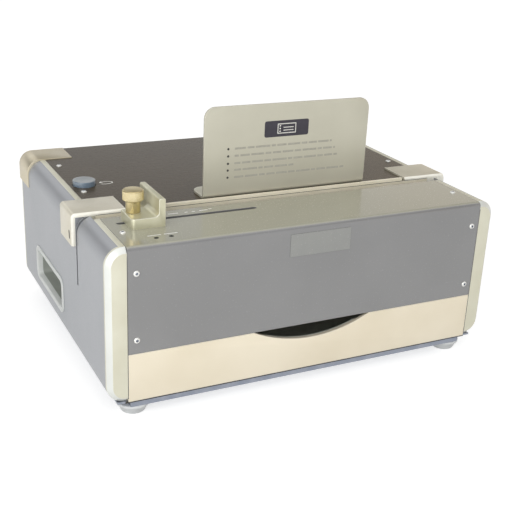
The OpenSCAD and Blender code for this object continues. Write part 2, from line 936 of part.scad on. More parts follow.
module throat_back_plate() {
  half = x_bracket - strip_gap;
  color(champagne) {
    block([-half, y_back, z_die_top], [half, y_back + back_t, z_plate]);
    block([-half, y_back, z_die_top], [half, y_strip, z_die_top + back_t]);
    both_sides() block([half, y_back, z_under - wing_h], [x_in - seam, y_back + back_t, z_under]);
  }
}

// A bent plate over the side, behind the throat
module front_bracket() {
  slot = bracket_slot_l / 2 - bracket_slot_w / 2;
  y_hole = y_back + bracket_slot_y;
  z_hole = z_top - bracket_slot_z;
  difference() {
    along_y(y_back, y_back + bracket_d) difference() {
      union() {
        translate([x_bracket, z_under]) square([x_flange - bracket_r - x_bracket, bracket_t]);
        translate([x_out, z_top - bracket_flange])
          square([bracket_t, bracket_flange + plate_rise - bracket_r]);
        translate([x_flange - bracket_r, z_plate - bracket_r]) circle(bracket_r);
      }
      translate([x_out - bracket_r, z_under - bracket_r]) square(bracket_r);
    }
    for (s = [-1, 1]) rod_x(y_hole, z_hole + s * slot, x_out - past, x_flange + past, bracket_slot_w / 2);
    block([x_out - past, y_hole - bracket_slot_w / 2, z_hole - slot],
      [x_flange + past, y_hole + bracket_slot_w / 2, z_hole + slot]);
  }
}

// A rounded plate that wraps the rear corner of the deck and the side
module rear_bracket() {
  along_y(y_bracket_rear, y_rear) difference() {
    wrap_outline(0);
    wrap_outline(bracket_t + wrap_proud);
  }
}

module front_left_bracket() {
  color(champagne) mirror([1, 0, 0]) front_bracket();
}

module front_right_bracket() {
  color(champagne) front_bracket();
}

module rear_left_bracket() {
  color(champagne) mirror([1, 0, 0]) rear_bracket();
}

module rear_right_bracket() {
  color(champagne) rear_bracket();
}

module bracket_screws() {
  sunk = 1.2;
  color(steel) both_sides() rod_x(y_back + bracket_slot_y, z_top - bracket_slot_z, x_in, x_flange - sunk,
    bracket_slot_w / 2 - screw_clear);
}

module backrest_plate() {
  y_rest = y_back + rest_y;
  color(champagne) difference() {
    union() {
      along_y(y_rest, y_rest + rest_t) translate([rest_x, z_top]) {
        translate([-rest_w / 2, 0]) square([rest_w, rest_h - rest_r]);
        translate([rest_r - rest_w / 2, 0]) square([rest_w - 2 * rest_r, rest_h]);
        for (s = [-1, 1]) translate([s * (rest_w / 2 - rest_r), rest_h - rest_r]) circle(rest_r);
      }
      translate([rest_x, y_rest, z_top]) linear_extrude(rest_t) {
        translate([-rest_w / 2, 0]) square([rest_w, rest_foot - rest_r]);
        translate([rest_r - rest_w / 2, 0]) square([rest_w - 2 * rest_r, rest_foot]);
        for (s = [-1, 1]) translate([s * (rest_w / 2 - rest_r), rest_foot - rest_r]) circle(rest_r);
      }
    }
    at_rest_screws() cylinder(h = rest_t + past, r = screw_r);
  }
}

module push_button() {
  z_cap = z_top + button_h;
  z_under = z_deck - button_skirt;
  z_stem = z_deck - cup_h - button_travel;
  color("#7F93AB") translate([x_button, y_button, 0]) {
    translate([0, 0, z_stem]) cylinder(h = z_cap - z_stem - button_edge, r = button_stem_r);
    translate([0, 0, z_under]) cylinder(h = z_cap - button_edge - z_under, r = button_r);
    translate([0, 0, z_cap - button_edge])
      cylinder(h = button_edge, r1 = button_r, r2 = button_r - button_edge);
  }
}

module button_switch() {
  inner = button_r + button_play;
  color(dark_plastic) translate([x_button, y_button, z_deck - cup_h]) difference() {
    cylinder(h = cup_h, r = inner + cup_wall);
    translate([0, 0, cup_floor]) cylinder(h = cup_h, r = inner);
    translate([0, 0, -past]) cylinder(h = cup_h, r = button_stem_r + running);
  }
}

module rear_panel() {
  half = x_in - seam;
  slots = 9;
  slot_step = 12;
  vent_w = 4;
  vent_h = 40;
  vent_side = 80;
  vent_x = vent_side - x_in;
  color(side_grey) difference() {
    block([-half, y_rear - panel_t, z_low], [half, y_rear, z_deck]);
    both_sides() block([x_bracket - seam, y_rear - panel_t - past, z_bracket],
      [x_in, y_rear + past, z_top]);
    at_rear_screws() cylinder(h = panel_t + past, r = screw_r + screw_clear);
    along_y(y_rear - panel_t - past, y_rear + past) {
      translate([inlet_x, inlet_z]) square([inlet_w, inlet_h], center = true);
      translate([rocker_x, inlet_z]) square([rocker_w, rocker_h], center = true);
      for (i = [0 : slots - 1]) {
        translate([vent_x + i * slot_step, inlet_z]) round_rect(vent_w, vent_h, vent_w / 2 - 0.1);
      }
    }
  }
}

// Mains inlet: a rim outside the panel and a socket body behind it
module power_inlet() {
  pin_w = 2;
  pin_h = 4;
  pin_step = 7;
  well_wall = 2;
  y_end = y_rear - inlet_d;
  color(dark_plastic) translate([inlet_x, 0, inlet_z]) {
    difference() {
      union() {
        along_y(y_end, y_rear) square([inlet_w, inlet_h], center = true);
        along_y(y_rear, y_rear + rim_t)
          square([inlet_w + 2 * inlet_rim, inlet_h + 2 * inlet_rim], center = true);
      }
      along_y(y_end + 2 * well_wall, y_rear + rim_t + past)
        square([inlet_w - 2 * well_wall, inlet_h - 2 * well_wall], center = true);
    }
    for (p = [[-1, -1], [0, 1], [1, -1]]) {
      along_y(y_end + well_wall, y_rear - inlet_rim) translate([p[0] * pin_step, p[1] * pin_w])
        square([pin_w, pin_h], center = true);
    }
  }
}

module rocker_housing() {
  color(dark_plastic) translate([rocker_x, 0, inlet_z]) difference() {
    union() {
      along_y(y_rear - rocker_d, y_rear) square([rocker_w, rocker_h], center = true);
      along_y(y_rear, y_rear + rim_t)
        square([rocker_w + 2 * rocker_rim, rocker_h + 2 * rocker_rim], center = true);
    }
    along_y(y_rear - rocker_d + rocker_wall, y_rear + rim_t + past)
      square([rocker_w - 2 * rocker_wall, rocker_h - 2 * rocker_wall], center = true);
    translate([-rocker_x, 0, -inlet_z]) rod_x(y_rear - rocker_axis, inlet_z, rocker_x - rocker_w / 2 + 1,
      rocker_x + rocker_w / 2 - 1, rocker_pin_r + running);
  }
}

rocker_axis = 8;
rocker_tilt = 6;

// Rocker: two facets that meet over its pivot pin
module power_rocker() {
  half_w = rocker_w / 2 - rocker_wall - rocker_play;
  half_h = rocker_h / 2 - rocker_wall - 2 * rocker_play;
  deep = 4;
  color("#3A3C40") translate([rocker_x, y_rear - rocker_axis, inlet_z]) rotate([rocker_tilt, 0, 0]) {
    along_x(-half_w, half_w) polygon([
      [-deep, -half_h + deep], [-deep, half_h - deep], [rocker_axis - 1, half_h - rocker_rise],
      [rocker_axis - rocker_rise, 0], [rocker_axis - 1, rocker_rise - half_h]
    ]);
    rod_x(0, 0, -rocker_w / 2 + 1 + rocker_play, rocker_w / 2 - 1 - rocker_play, rocker_pin_r);
  }
}

// Outline of a mechanism plate in the y-z plane
module mech_outline() {
  difference() {
    union() {
      translate([y_mech_front, z_mech_front])
        square([y_mech_rear - y_mech_front, z_throat - z_mech_front]);
      translate([y_mech_front, z_mech_front]) square([y_gap - y_mech_front, z_die_top - z_mech_front]);
      translate([y_back, z_throat - 1]) square([y_mech_rear - y_back, z_mech_top - z_throat + 1]);
      translate([y_mech_leg, z_floor]) square([y_mech_rear - y_mech_leg, z_mech_top - z_floor]);
    }
    translate([y_gap, z_throat]) square([throat_gap, body_h]);
    translate([y_shaft, z_shaft]) circle(bearing_r);
  }
}

module mechanism_plate() {
  difference() {
    union() {
      along_x(x_mech, x_mech_out) mech_outline();
      block([x_mech - mech_foot_w, y_mech_leg, z_floor], [x_mech, y_mech_rear, z_floor + mech_foot_h]);
    }
    at_die_screws() cylinder(h = mech_t + past, r = die_screw_r);
  }
}

die_screw_r = 2.5;
die_screw_l = 20;
die_screw_head_r = 4.25;
die_screw_head_h = 4;
die_screw_rise = 10;

// Screws through the right mechanism plate, with z towards the middle
module at_die_screws() {
  z_mid = z_die + die_h / 2;
  for (y = [y_gap - die_t / 2, y_back + strip_t / 2], z = [z_mid - die_screw_rise, z_mid + die_screw_rise]) {
    translate([x_mech_out, y, z]) rotate([0, -90, 0]) children();
  }
}

module die_screws() {
  color(dark_plastic) both_sides() at_die_screws() {
    cylinder(h = die_screw_l, r = die_screw_r);
    difference() {
      translate([0, 0, -die_screw_head_h]) cylinder(h = die_screw_head_h, r = die_screw_head_r);
      translate([0, 0, -die_screw_head_h - past]) cylinder(h = past + die_screw_head_h / 2,
        r = die_screw_head_r / 2, $fn = 6);
    }
  }
}

module left_mechanism_plate() {
  color(steel) mirror([1, 0, 0]) mechanism_plate();
}

module right_mechanism_plate() {
  color(steel) mechanism_plate();
}

// Holes for every pin between two planes
module pin_holes(y1, y2, r) {
  for (i = [-pin_side : pin_side]) rod_y(i * pin_pitch, z_pin, y1, y2, r);
}

module die_plate() {
  color("#84888E") difference() {
    block([-x_mech, y_gap - die_t, z_die], [x_mech, y_gap, z_die_top]);
    pin_holes(y_gap - die_t - past, y_gap + past, pin_r + running);
    both_sides() at_die_screws() cylinder(h = die_screw_l, r = die_screw_r);
  }
}

module paper_stop() {
  color("#84888E") block([-x_mech, y_gap, z_die], [x_mech, y_back, z_throat]);
}

module stripper_plate() {
  color("#84888E") difference() {
    block([-x_mech, y_back, z_die], [x_mech, y_strip, z_die_top]);
    pin_holes(y_back - past, y_strip + past, pin_r + running);
    both_sides() at_die_screws() cylinder(h = die_screw_l, r = die_screw_r);
    both_sides() rod_y(x_rod, z_pin, y_back + pin_rest, y_strip + past, rod_r);
  }
}

module guide_rods() {
  color("#C6C8CC") both_sides() rod_y(x_rod, z_pin, y_back + pin_rest, y_yoke + rod_tail, rod_r);
}

module ram_bar() {
  color(steel) difference() {
    block([-ram_half, y_ram, z_pin - ram_h / 2], [ram_half, y_retainer, z_pin + ram_h / 2]);
    pin_holes(y_ram - past, y_retainer + past, pin_r);
    pin_holes(y_retainer - pin_head_h, y_retainer + past, pin_head_r);
    both_sides() rod_y(x_rod, z_pin, y_ram - past, y_retainer + past, bush_r);
  }
}

module ram_bushes() {
  color("#B08D57") both_sides() difference() {
    rod_y(x_rod, z_pin, y_ram, y_yoke, bush_r);
    rod_y(x_rod, z_pin, y_ram - past, y_yoke + past, rod_r + running);
  }
}

module pin_retainer() {
  color("#84888E") difference() {
    block([-ram_half, y_retainer, z_pin - ram_h / 2], [ram_half, y_yoke, z_pin + ram_h / 2]);
    both_sides() rod_y(x_rod, z_pin, y_retainer - past, y_yoke + past, bush_r);
  }
}

module punch_pins() {
  color("#C6C8CC") {
    pin_holes(y_back + pin_rest, y_retainer, pin_r);
    pin_holes(y_retainer - pin_head_h, y_retainer, pin_head_r);
  }
}

// Window of a yoke, wide enough for its eccentric
window_y = y_shaft + throw;
window_half = ecc_r + ecc_gap;
window_rise = ecc_r + throw + ecc_gap;

module ram_yokes() {
  color(steel) both_sides() along_x(ecc_x - yoke_t / 2, ecc_x + yoke_t / 2) difference() {
    translate([y_yoke, z_shaft - window_rise - yoke_wall])
      square([window_y + window_half + yoke_wall - y_yoke, 2 * (window_rise + yoke_wall)]);
    translate([window_y - window_half, z_shaft - window_rise]) square([2 * window_half, 2 * window_rise]);
  }
}

module eccentric_shaft() {
  color("#C6C8CC") rod_x(y_shaft, z_shaft, -x_mech_out - 1, x_mech_out + 1, shaft_r);
}

module eccentrics() {
  color("#84888E") both_sides() difference() {
    rod_x(window_y, z_shaft, ecc_x - yoke_t / 2, ecc_x + yoke_t / 2, ecc_r);
    rod_x(y_shaft, z_shaft, ecc_x - yoke_t, ecc_x + yoke_t, shaft_r);
  }
}

module shaft_bearings() {
  color("#B08D57") both_sides() difference() {
    rod_x(y_shaft, z_shaft, x_mech - 1, x_mech_out + 1, bearing_r);
    rod_x(y_shaft, z_shaft, x_mech - past - 1, x_mech_out + past + 1, shaft_r + running);
  }
}

// Involute function of an angle, in radians
function involute(a) = tan(a) - a * PI / 180;

// Half the angle of a tooth at radius r
function tooth_half(r, n) =
  let (rp = n * gear_m / 2, rb = rp * cos(pressure))
  ((PI * gear_m / 2 - backlash) / (2 * rp) + involute(pressure)
    - involute(acos(min(1, rb / r)))) * 180 / PI;

// Radii along a tooth's flank, from root to tip
flank_steps = 4;
function flank(n) =
  let (rp = n * gear_m / 2, root = rp - dedendum * gear_m, tip = rp + addendum * gear_m,
    base = max(root + gear_m / 10, rp * cos(pressure)))
  concat([root], [for (i = [0 : flank_steps]) base + (tip - base) * i / flank_steps]);

// Outline of a gear of n teeth, with one tooth along the first axis
module gear_outline(n) {
  radii = flank(n);
  last = len(radii) - 1;
  polygon([
    for (t = [0 : n - 1], side = [-1, 1], i = [0 : last])
      let (r = radii[side < 0 ? i : last - i], a = t * 360 / n + side * tooth_half(r, n))
      [r * cos(a), r * sin(a)]
  ]);
}

module main_gear() {
  hub_r = shaft_r + 8;
  hub_t = 2;
  hole_r = 11;
  hole_at = gear_m * gear_teeth / 3.4;
  holes = 5;
  color("#84888E") difference() {
    union() {
      along_x(x_gear, x_gear + gear_t) translate([y_shaft, z_shaft]) gear_outline(gear_teeth);
      rod_x(y_shaft, z_shaft, x_gear + gear_t, x_gear + gear_t + hub_t, hub_r);
    }
    rod_x(y_shaft, z_shaft, x_gear - past, x_mech, shaft_r);
    for (i = [0 : holes - 1]) {
      rod_x(y_shaft + hole_at * cos(i * 360 / holes), z_shaft + hole_at * sin(i * 360 / holes),
        x_gear - past, x_mech, hole_r);
    }
  }
}

module drive_pinion() {
  shaft_in = 12;
  color("#C6C8CC") {
    along_x(x_gear, x_gear + gear_t) translate([y_motor, z_shaft]) gear_outline(pinion_teeth);
    rod_x(y_motor, z_shaft, x_gearbox - shaft_in, x_gear, output_r);
  }
}

module gear_motor() {
  cap_l = 6;
  shaft_in = 12;
  x_can = x_gearbox - gearbox_l;
  x_cap = x_can - can_l;
  color("#4A4D52") difference() {
    union() {
      rod_x(y_motor, z_shaft, x_can, x_gearbox, gearbox_r);
      rod_x(y_motor, z_shaft, x_cap, x_can, can_r);
      rod_x(y_motor, z_shaft, x_cap - cap_l, x_cap, can_r / 2);
    }
    rod_x(y_motor, z_shaft, x_gearbox - shaft_in, x_gearbox + past, output_r + running);
  }
}

module motor_bracket() {
  foot_l = 34;
  margin = 3;
  half = gearbox_r + margin;
  color(steel) difference() {
    union() {
      block([x_gearbox, y_motor - half, z_floor],
        [x_gearbox + motor_plate, y_motor + half, z_shaft + half]);
      block([x_gearbox - foot_l, y_motor - half, z_floor],
        [x_gearbox, y_motor + half, z_floor + motor_plate]);
    }
    rod_x(y_motor, z_shaft, x_gearbox - past, x_gearbox + motor_plate + past, output_r + running);
  }
}

disc_reach = 6;
disc_r = bearing_r + disc_reach + 1;
disc_t = 3;
disc_gap = 4;
x_disc = -x_mech + disc_gap;

module stop_disc() {
  notch = 6;
  color(dark_plastic) difference() {
    rod_x(y_shaft, z_shaft, x_disc, x_disc + disc_t, disc_r);
    rod_x(y_shaft, z_shaft, x_disc - past, x_disc + disc_t + past, shaft_r);
    block([x_disc - past, y_shaft - notch / 2, z_shaft + disc_r - notch],
      [x_disc + disc_t + past, y_shaft + notch / 2, z_shaft + disc_r + past]);
  }
}

module home_sensor() {
  sensor_d = 12;
  slot_gap = 1.5;
  arm = 3;
  wall = 3;
  z_slot = z_shaft + disc_r - disc_reach;
  color("#222326") difference() {
    block([-x_mech, y_shaft - sensor_d / 2, z_slot],
      [x_disc + disc_t + slot_gap + arm, y_shaft + sensor_d / 2, z_shaft + disc_r + slot_gap + wall]);
    block([x_disc - slot_gap, y_shaft - sensor_d, z_slot - past],
      [x_disc + disc_t + slot_gap, y_shaft + sensor_d, z_shaft + disc_r + slot_gap]);
  }
}

board_w = 130;
board_d = 62;
board_t = 1.6;
board_side = 230;
board_rear = 100;
board_x = x_in - board_side;
board_y = y_rear - board_rear;
standoff_h = 12;
standoff_r = 3;
standoff_inset = 5;

module at_standoffs() {
  for (x = [board_x + standoff_inset, board_x + board_w - standoff_inset],
    y = [board_y + standoff_inset, board_y + board_d - standoff_inset]) {
    translate([x, y, z_floor]) children();
  }
}

module board_standoffs() {
  color("#C6C8CC") at_standoffs() cylinder(h = standoff_h, r = standoff_r);
}

// Parts on the board: place along x and y, width, depth and height
board_relay = [14, 12, 18, 15, 15];
board_choke = [40, 12, 28, 10, 22];
board_chip = [84, 14, 24, 24, 3];
board_plug = [70, 46, 40, 8, 9];
board_can_x = [24, 48];
board_can_y = 44;
board_can_r = 7;
board_can_h = 20;

module control_board() {
  z_board = z_floor + standoff_h;
  color("#2F6B45") {
    block([board_x, board_y, z_board], [board_x + board_w, board_y + board_d, z_board + board_t]);
    translate([board_x, board_y, z_board + board_t]) {
      for (p = [board_relay, board_choke, board_chip, board_plug]) {
        translate([p[0], p[1], 0]) cube([p[2], p[3], p[4]]);
      }
      for (x = board_can_x) translate([x, board_can_y, 0]) cylinder(h = board_can_h, r = board_can_r);
    }
  }
}

core_side = 26;
core_rear = 95;

module transformer() {
  core_w = 66;
  core_d = 34;
  core_h = 55;
  coil_w = 34;
  coil_h = 35;
  coil_out = 12;
  foot_w = 12;
  foot_t = 3;
  color("#6E5A40") translate([core_side - x_mech, y_rear - core_rear, z_floor]) {
    translate([0, 0, foot_t]) cube([core_w, core_d, core_h]);
    translate([-foot_w, 0, 0]) cube([core_w + 2 * foot_w, core_d, foot_t]);
    translate([(core_w - coil_w) / 2, -coil_out, foot_t + (core_h - coil_h) / 2])
      cube([coil_w, core_d + 2 * coil_out, coil_h]);
  }
}

base_pan();
feet();
foot_screws();
left_side_frame();
right_side_frame();
left_side_cover();
right_side_cover();
left_hand_grip();
right_hand_grip();
front_cover();
case_screws();
indicator_lenses();
edge_guide();
clamp_nut();
thumb_screw();
drawer_front();
drawer_tray();
drawer_runners();
drawer_screws();
deck_plate();
throat_back_plate();
front_left_bracket();
front_right_bracket();
rear_left_bracket();
rear_right_bracket();
bracket_screws();
backrest_plate();
push_button();
button_switch();
rear_panel();
power_inlet();
rocker_housing();
power_rocker();
left_mechanism_plate();
right_mechanism_plate();
die_plate();
paper_stop();
stripper_plate();
die_screws();
guide_rods();
ram_bar();
ram_bushes();
pin_retainer();
punch_pins();
ram_yokes();
eccentric_shaft();
eccentrics();
shaft_bearings();
main_gear();
drive_pinion();
gear_motor();
motor_bracket();
stop_disc();
home_sensor();
control_board();
board_standoffs();
transformer();
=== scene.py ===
import math
import bmesh
import bpy
import numpy as np
from mathutils import Matrix, Vector


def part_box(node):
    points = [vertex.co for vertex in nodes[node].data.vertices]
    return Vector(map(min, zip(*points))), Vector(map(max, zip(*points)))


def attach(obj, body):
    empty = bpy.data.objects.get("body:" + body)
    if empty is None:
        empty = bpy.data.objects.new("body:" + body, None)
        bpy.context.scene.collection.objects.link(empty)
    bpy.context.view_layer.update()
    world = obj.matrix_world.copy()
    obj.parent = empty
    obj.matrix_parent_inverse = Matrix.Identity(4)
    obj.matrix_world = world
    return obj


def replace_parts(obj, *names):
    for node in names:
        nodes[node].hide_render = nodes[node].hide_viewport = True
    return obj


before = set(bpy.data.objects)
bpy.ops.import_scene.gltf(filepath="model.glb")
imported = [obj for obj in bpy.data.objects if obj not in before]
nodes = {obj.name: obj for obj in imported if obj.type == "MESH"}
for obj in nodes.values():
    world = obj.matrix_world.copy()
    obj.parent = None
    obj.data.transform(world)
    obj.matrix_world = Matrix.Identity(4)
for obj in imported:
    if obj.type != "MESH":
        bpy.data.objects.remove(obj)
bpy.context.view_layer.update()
scene = bpy.context.scene
bothSides = (("left", -1), ("right", 1))
print("frame loaded:", len(nodes), "nodes")


# corners of a CAD node in millimetres
def corners(node):
    lo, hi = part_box(node)
    return np.array(lo) * 1000, np.array(hi) * 1000


# nearest and farthest reach of a CAD node from the middle along X, in millimetres
def reachX(node):
    return np.sort(np.abs(np.stack(corners(node))[:, 0]))


# sRGB hex to linear: the low end is divided by 12.92, the rest follows the 2.4 power curve
def fromHex(code):
    c = np.array([int(code[i:i + 2], 16) for i in (1, 3, 5)]) / 255
    linear = np.where(c <= 0.04045, c / 12.92, ((c + 0.055) / 1.055) ** 2.4)
    return (*linear.tolist(), 1.0)


# adds one node with its settings, socket values and links
def addNode(tree, kind, values=None, links=None, **settings):
    node = tree.nodes.new(kind)
    for key, value in settings.items():
        setattr(node, key, value)
    for key, value in (values or {}).items():
        node.inputs[key].default_value = value
    for key, source in (links or {}).items():
        tree.links.new(source, node.inputs[key])
    return node


# the emptied node tree of a material or a world
def emptyTree(owner):
    owner.use_nodes = True
    owner.node_tree.nodes.clear()
    return owner.node_tree


# socket values for the range that a value comes in with
def fromRange(pair):
    return {"From Min": pair[0], "From Max": pair[1]}


# what a finish has unless its entry says otherwise, and what the inks share
plainFinish = dict(metallic=0.0, spread=0.06, stretch=(1, 1, 1), edgeMm=0.5, gloss=0.5, coat=0.0,
    coatIor=1.5, upLightTint=None)
ink = dict(spread=0.05, grainMm=0.6, depthMm=0.002, edgeMm=0.1)

# every finish of the machine: colours in sRGB hex, pattern sizes in millimetres;
# base and tint mix in patches of patchMm; the grain moves the roughness by spread and gives a relief of
# depthMm, and stretch draws it out into streaks; edge is the colour along edges, paler partly as wear and
# partly as a painted highlight, edgeMm how far it reaches; gloss, coat and coatIor are the shader's own
# values;
# the upward tint is a colour laid on faces that look up, painted light and reflection from above, and its
# share how much of the colour it covers
finishSpecs = {
    # bead-blasted and anodised casting: soft sheen, edges paler, partly rubbed and partly a painted
    # highlight; the 0.1 mm blast is drawn at 0.9 mm
    "blastedChampagneAluminium": dict(base="#E0DECB", tint="#D8D5C0", patchMm=45, metallic=0.35, rough=0.42,
        grainMm=0.9, depthMm=0.004, edge="#FDFBF2", edgeMm=0.9),
    # the frames' chamfers at both ends: a paler, brighter finish, a painted highlight
    "chamferPaintedHighlight": dict(base="#E9EBE6", tint="#E3E5E0", patchMm=30, metallic=0.25, rough=0.36,
        spread=0.03, grainMm=1.0, depthMm=0.002, edge="#FEFEFA", edgeMm=0.6),
    # the same blast on a small milled block, a little yellower from its clear varnish
    "blastedGuideAluminium": dict(base="#D6D4BA", tint="#CDCAAE", patchMm=14, metallic=0.50, rough=0.34,
        spread=0.03, grainMm=0.9, depthMm=0.0015, edge="#FFFEF4", edgeMm=1.0),
    # rolled sheet, satin anodised: faint rolling lines along the width
    "anodisedSheetAluminium": dict(base="#CDCAB9", tint="#C7C4B3", patchMm=60, metallic=0.30, rough=0.36,
        spread=0.05, grainMm=1.2, depthMm=0.005, stretch=(0.05, 1, 1), edge="#F4F1E4", edgeMm=0.7),
    # thick bent plate, anodised over a milled face
    "milledBracketAluminium": dict(base="#DED8C6", tint="#D4CEBA", patchMm=30, metallic=0.40, rough=0.36,
        grainMm=1.0, depthMm=0.010, stretch=(1, 0.15, 1), edge="#FBF8EA", edgeMm=0.8),
    # the wrapped plates at the rear: rolled round, so glossier; their darker, browner base is painted shade
    "rolledBracketAluminium": dict(base="#D0C7AF", tint="#C8BDA1", patchMm=26, metallic=0.80, rough=0.36,
        spread=0.03, grainMm=1.0, depthMm=0.002, stretch=(1, 0.15, 1), edge="#F3EDDA", edgeMm=0.6),
    # the plate's sawn ends: bare and cross-grained, paler than the anodised face, and brightened further as
    # a painted highlight
    "sawnAluminiumEdge": dict(base="#FDFBEF", tint="#F8F5E8", patchMm=8, rough=0.46,
        spread=0.08, grainMm=0.7, depthMm=0.015, stretch=(1, 0.2, 1), edge="#FFFEF6"),
    # the throat's back plate: milled aluminium, warm in tone, its base paler than the other champagne parts:
    # painted light where the throat shades it
    "throatPaintedLightAluminium": dict(base="#F5EDD6", tint="#EEE6CD", patchMm=30, rough=0.46,
        grainMm=0.8, depthMm=0.008, stretch=(0.1, 1, 1), edge="#FFF8E8"),
    # brushed and pale anodised: fine streaks along the drawer
    "brushedDrawerAluminium": dict(base="#F0E6D0", tint="#E8DDC5", patchMm=90, metallic=0.30, rough=0.38,
        spread=0.07, grainMm=0.8, depthMm=0.007, stretch=(0.02, 1, 1), edge="#FFFCF2", edgeMm=0.8),
    # sprayed silver paint: fine flake under a satin lacquer, with a faint orange peel of 1.5 mm
    "satinSilverPaint": dict(base="#A2A4A8", tint="#9C9FA3", patchMm=80, metallic=0.55, rough=0.36,
        spread=0.03, grainMm=1.5, depthMm=0.0012, edge="#BCBEC1", edgeMm=0.6),
    # sprayed semi-gloss paint on folded sheet, lacquered; its top faces take a cream tint, a painted
    # reflection and warm light from above
    "semiGlossGreyPaint": dict(base="#848484", tint="#7F7F7F", patchMm=90, rough=0.24, coat=1.0, coatIor=1.6,
        upLightTint="#B4B29A", upLightShare=0.7, spread=0.04, grainMm=1.8, depthMm=0.003, edge="#A8A8A2", edgeMm=0.6),
    # gloss enamel, dark brown-grey, with fine wiping marks along the width; its top face takes a browner
    # tint, painted warm light from above
    "glossBrownEnamel": dict(base="#463D30", tint="#3F372B", patchMm=70, rough=0.26, gloss=0.27,
        upLightTint="#564A36", upLightShare=0.4, spread=0.03, grainMm=1.0, depthMm=0.0006, stretch=(0.04, 1, 1),
        edge="#857C70"),
    # ABS, injection moulded with a fine spark texture
    "texturedGreyAbs": dict(base="#DEE0DD", tint="#D6D9D6", patchMm=25, rough=0.48,
        spread=0.05, grainMm=0.8, depthMm=0.018, edge="#F0F1EE", edgeMm=0.6),
    # the same ABS, darker, for the inside of the pocket
    "texturedDarkAbs": dict(base="#9CA099", tint="#93978F", patchMm=25, rough=0.52,
        spread=0.05, grainMm=0.8, depthMm=0.018, edge="#8A8E87"),
    # ABS, satin moulded, dyed blue-grey; its top tinted paler grey, painted light from above
    "satinBlueAbs": dict(base="#6D7E8F", tint="#657687", patchMm=12, rough=0.36, coat=1.0, coatIor=1.7,
        upLightTint="#979B96", upLightShare=0.6, spread=0.04, grainMm=0.7, depthMm=0.008, edge="#9DAAB6"),
    # black nylon, moulded; the same black also fills the brackets' slots as painted shade
    "blackNylonAndSlotShade": dict(base="#26272A", tint="#202124", patchMm=15, rough=0.45,
        grainMm=0.7, depthMm=0.012, edge="#404145", edgeMm=0.4),
    # acrylic, dark when off, polished
    "smokedAcrylic": dict(base="#1E2420", tint="#262C26", patchMm=3, rough=0.08,
        spread=0.02, grainMm=0.6, depthMm=0.001, edge="#3A423B", edgeMm=0.2),
    # light grey rubber, matt, with a little dust
    "mattGreyRubber": dict(base="#E4E6E6", tint="#D8DADB", patchMm=10, rough=0.62,
        grainMm=0.9, depthMm=0.018, edge="#ECEDEE"),
    # matt near-black for the strips of painted shade: in the side seams, under the drawer and in the throat
    "shadeStripBlack": dict(base="#34332F", tint="#3C3B36", patchMm=8, rough=0.60,
        grainMm=0.8, depthMm=0.010, edge="#4B4943", edgeMm=0.3),
    # turned brass under lacquer: turning lines round the axis
    "turnedBrass": dict(base="#D5C699", tint="#C9B888", patchMm=8, metallic=0.75, rough=0.21,
        spread=0.04, grainMm=0.6, depthMm=0.004, stretch=(0.1, 0.1, 1), edge="#FBF3D8", edgeMm=0.4),
    # sintered bronze: open dull grain
    "sinteredBronze": dict(base="#A98A58", tint="#96784A", patchMm=6, metallic=0.9, rough=0.50,
        spread=0.08, grainMm=0.6, depthMm=0.015, edge="#C7AA78", edgeMm=0.3),
    # nickel plate on turned steel
    "nickelPlatedSteel": dict(base="#E2E3E3", tint="#D6D7D9", patchMm=6, metallic=0.85, rough=0.20,
        spread=0.04, grainMm=0.6, depthMm=0.003, edge="#FAFAF8", edgeMm=0.25),
    # bright zinc on the case screws' heads, paler than the nickel
    "brightZincScrew": dict(base="#F6F6F3", tint="#ECECE8", patchMm=3, metallic=0.45, rough=0.20,
        spread=0.04, grainMm=0.6, depthMm=0.002, edge="#FFFFFC", edgeMm=0.25),
    # zinc plated sheet: cloudy blue-grey patches
    "zincPlatedSteel": dict(base="#9CA1AD", tint="#8D94A2", patchMm=14, metallic=0.7, rough=0.40,
        spread=0.09, grainMm=1.2, depthMm=0.006, edge="#D5DAE0"),
    # galvanised sheet: pale and matt
    "galvanisedTraySteel": dict(base="#DADBCD", tint="#CFD0C1", patchMm=18, metallic=0.15, rough=0.50,
        spread=0.08, grainMm=1.2, depthMm=0.006, edge="#E2E3DA"),
    # ground tool steel: fine parallel grinding lines
    "groundToolSteel": dict(base="#8D9196", tint="#7F8389", patchMm=20, metallic=1.0, rough=0.34,
        spread=0.08, grainMm=0.8, depthMm=0.006, stretch=(0.04, 1, 1), edge="#BFC2C5", edgeMm=0.4),
    # dark satin paint on the motor's case
    "satinMotorPaint": dict(base="#45494E", tint="#3F4348", patchMm=20, rough=0.42,
        grainMm=1.2, depthMm=0.010, edge="#6B6F74", edgeMm=0.4),
    # glass laminate under green solder mask
    "solderMaskLaminate": dict(base="#2C6A43", tint="#26603B", patchMm=9, rough=0.30,
        grainMm=0.9, depthMm=0.008, edge="#7C9A78", edgeMm=0.3),
    # varnished laminations: thin sheets stacked along the core
    "varnishedCoreSteel": dict(base="#6B5539", tint="#54432E", patchMm=12, metallic=0.3, rough=0.38,
        spread=0.10, grainMm=0.7, depthMm=0.020, stretch=(0.05, 1, 0.05), edge="#8A7556", edgeMm=0.3),
    # screen-printed inks: thin, a little uneven
    "greyInk": dict(ink, base="#A9A69A", tint="#B3B0A4", patchMm=2.5, rough=0.55, edge="#B1AEA2"),
    "blackInk": dict(ink, base="#3A3936", tint="#45433F", patchMm=2.5, rough=0.50, edge="#4A4844"),
    "violetInk": dict(ink, base="#35323B", tint="#3B3842", patchMm=6, rough=0.45, edge="#4E4B56"),
    "whiteInk": dict(ink, base="#F0EFE8", tint="#E4E3DB", patchMm=2.5, rough=0.50, edge="#F6F5EF"),
    # thin bare plate, the grey of the cover a shade lighter
    "plateGreyPaint": dict(base="#8E8F8B", tint="#898A87", patchMm=30, rough=0.24, coat=1.0, coatIor=1.6,
        spread=0.04, grainMm=1.5, depthMm=0.004, edge="#6E6F6A"),
}

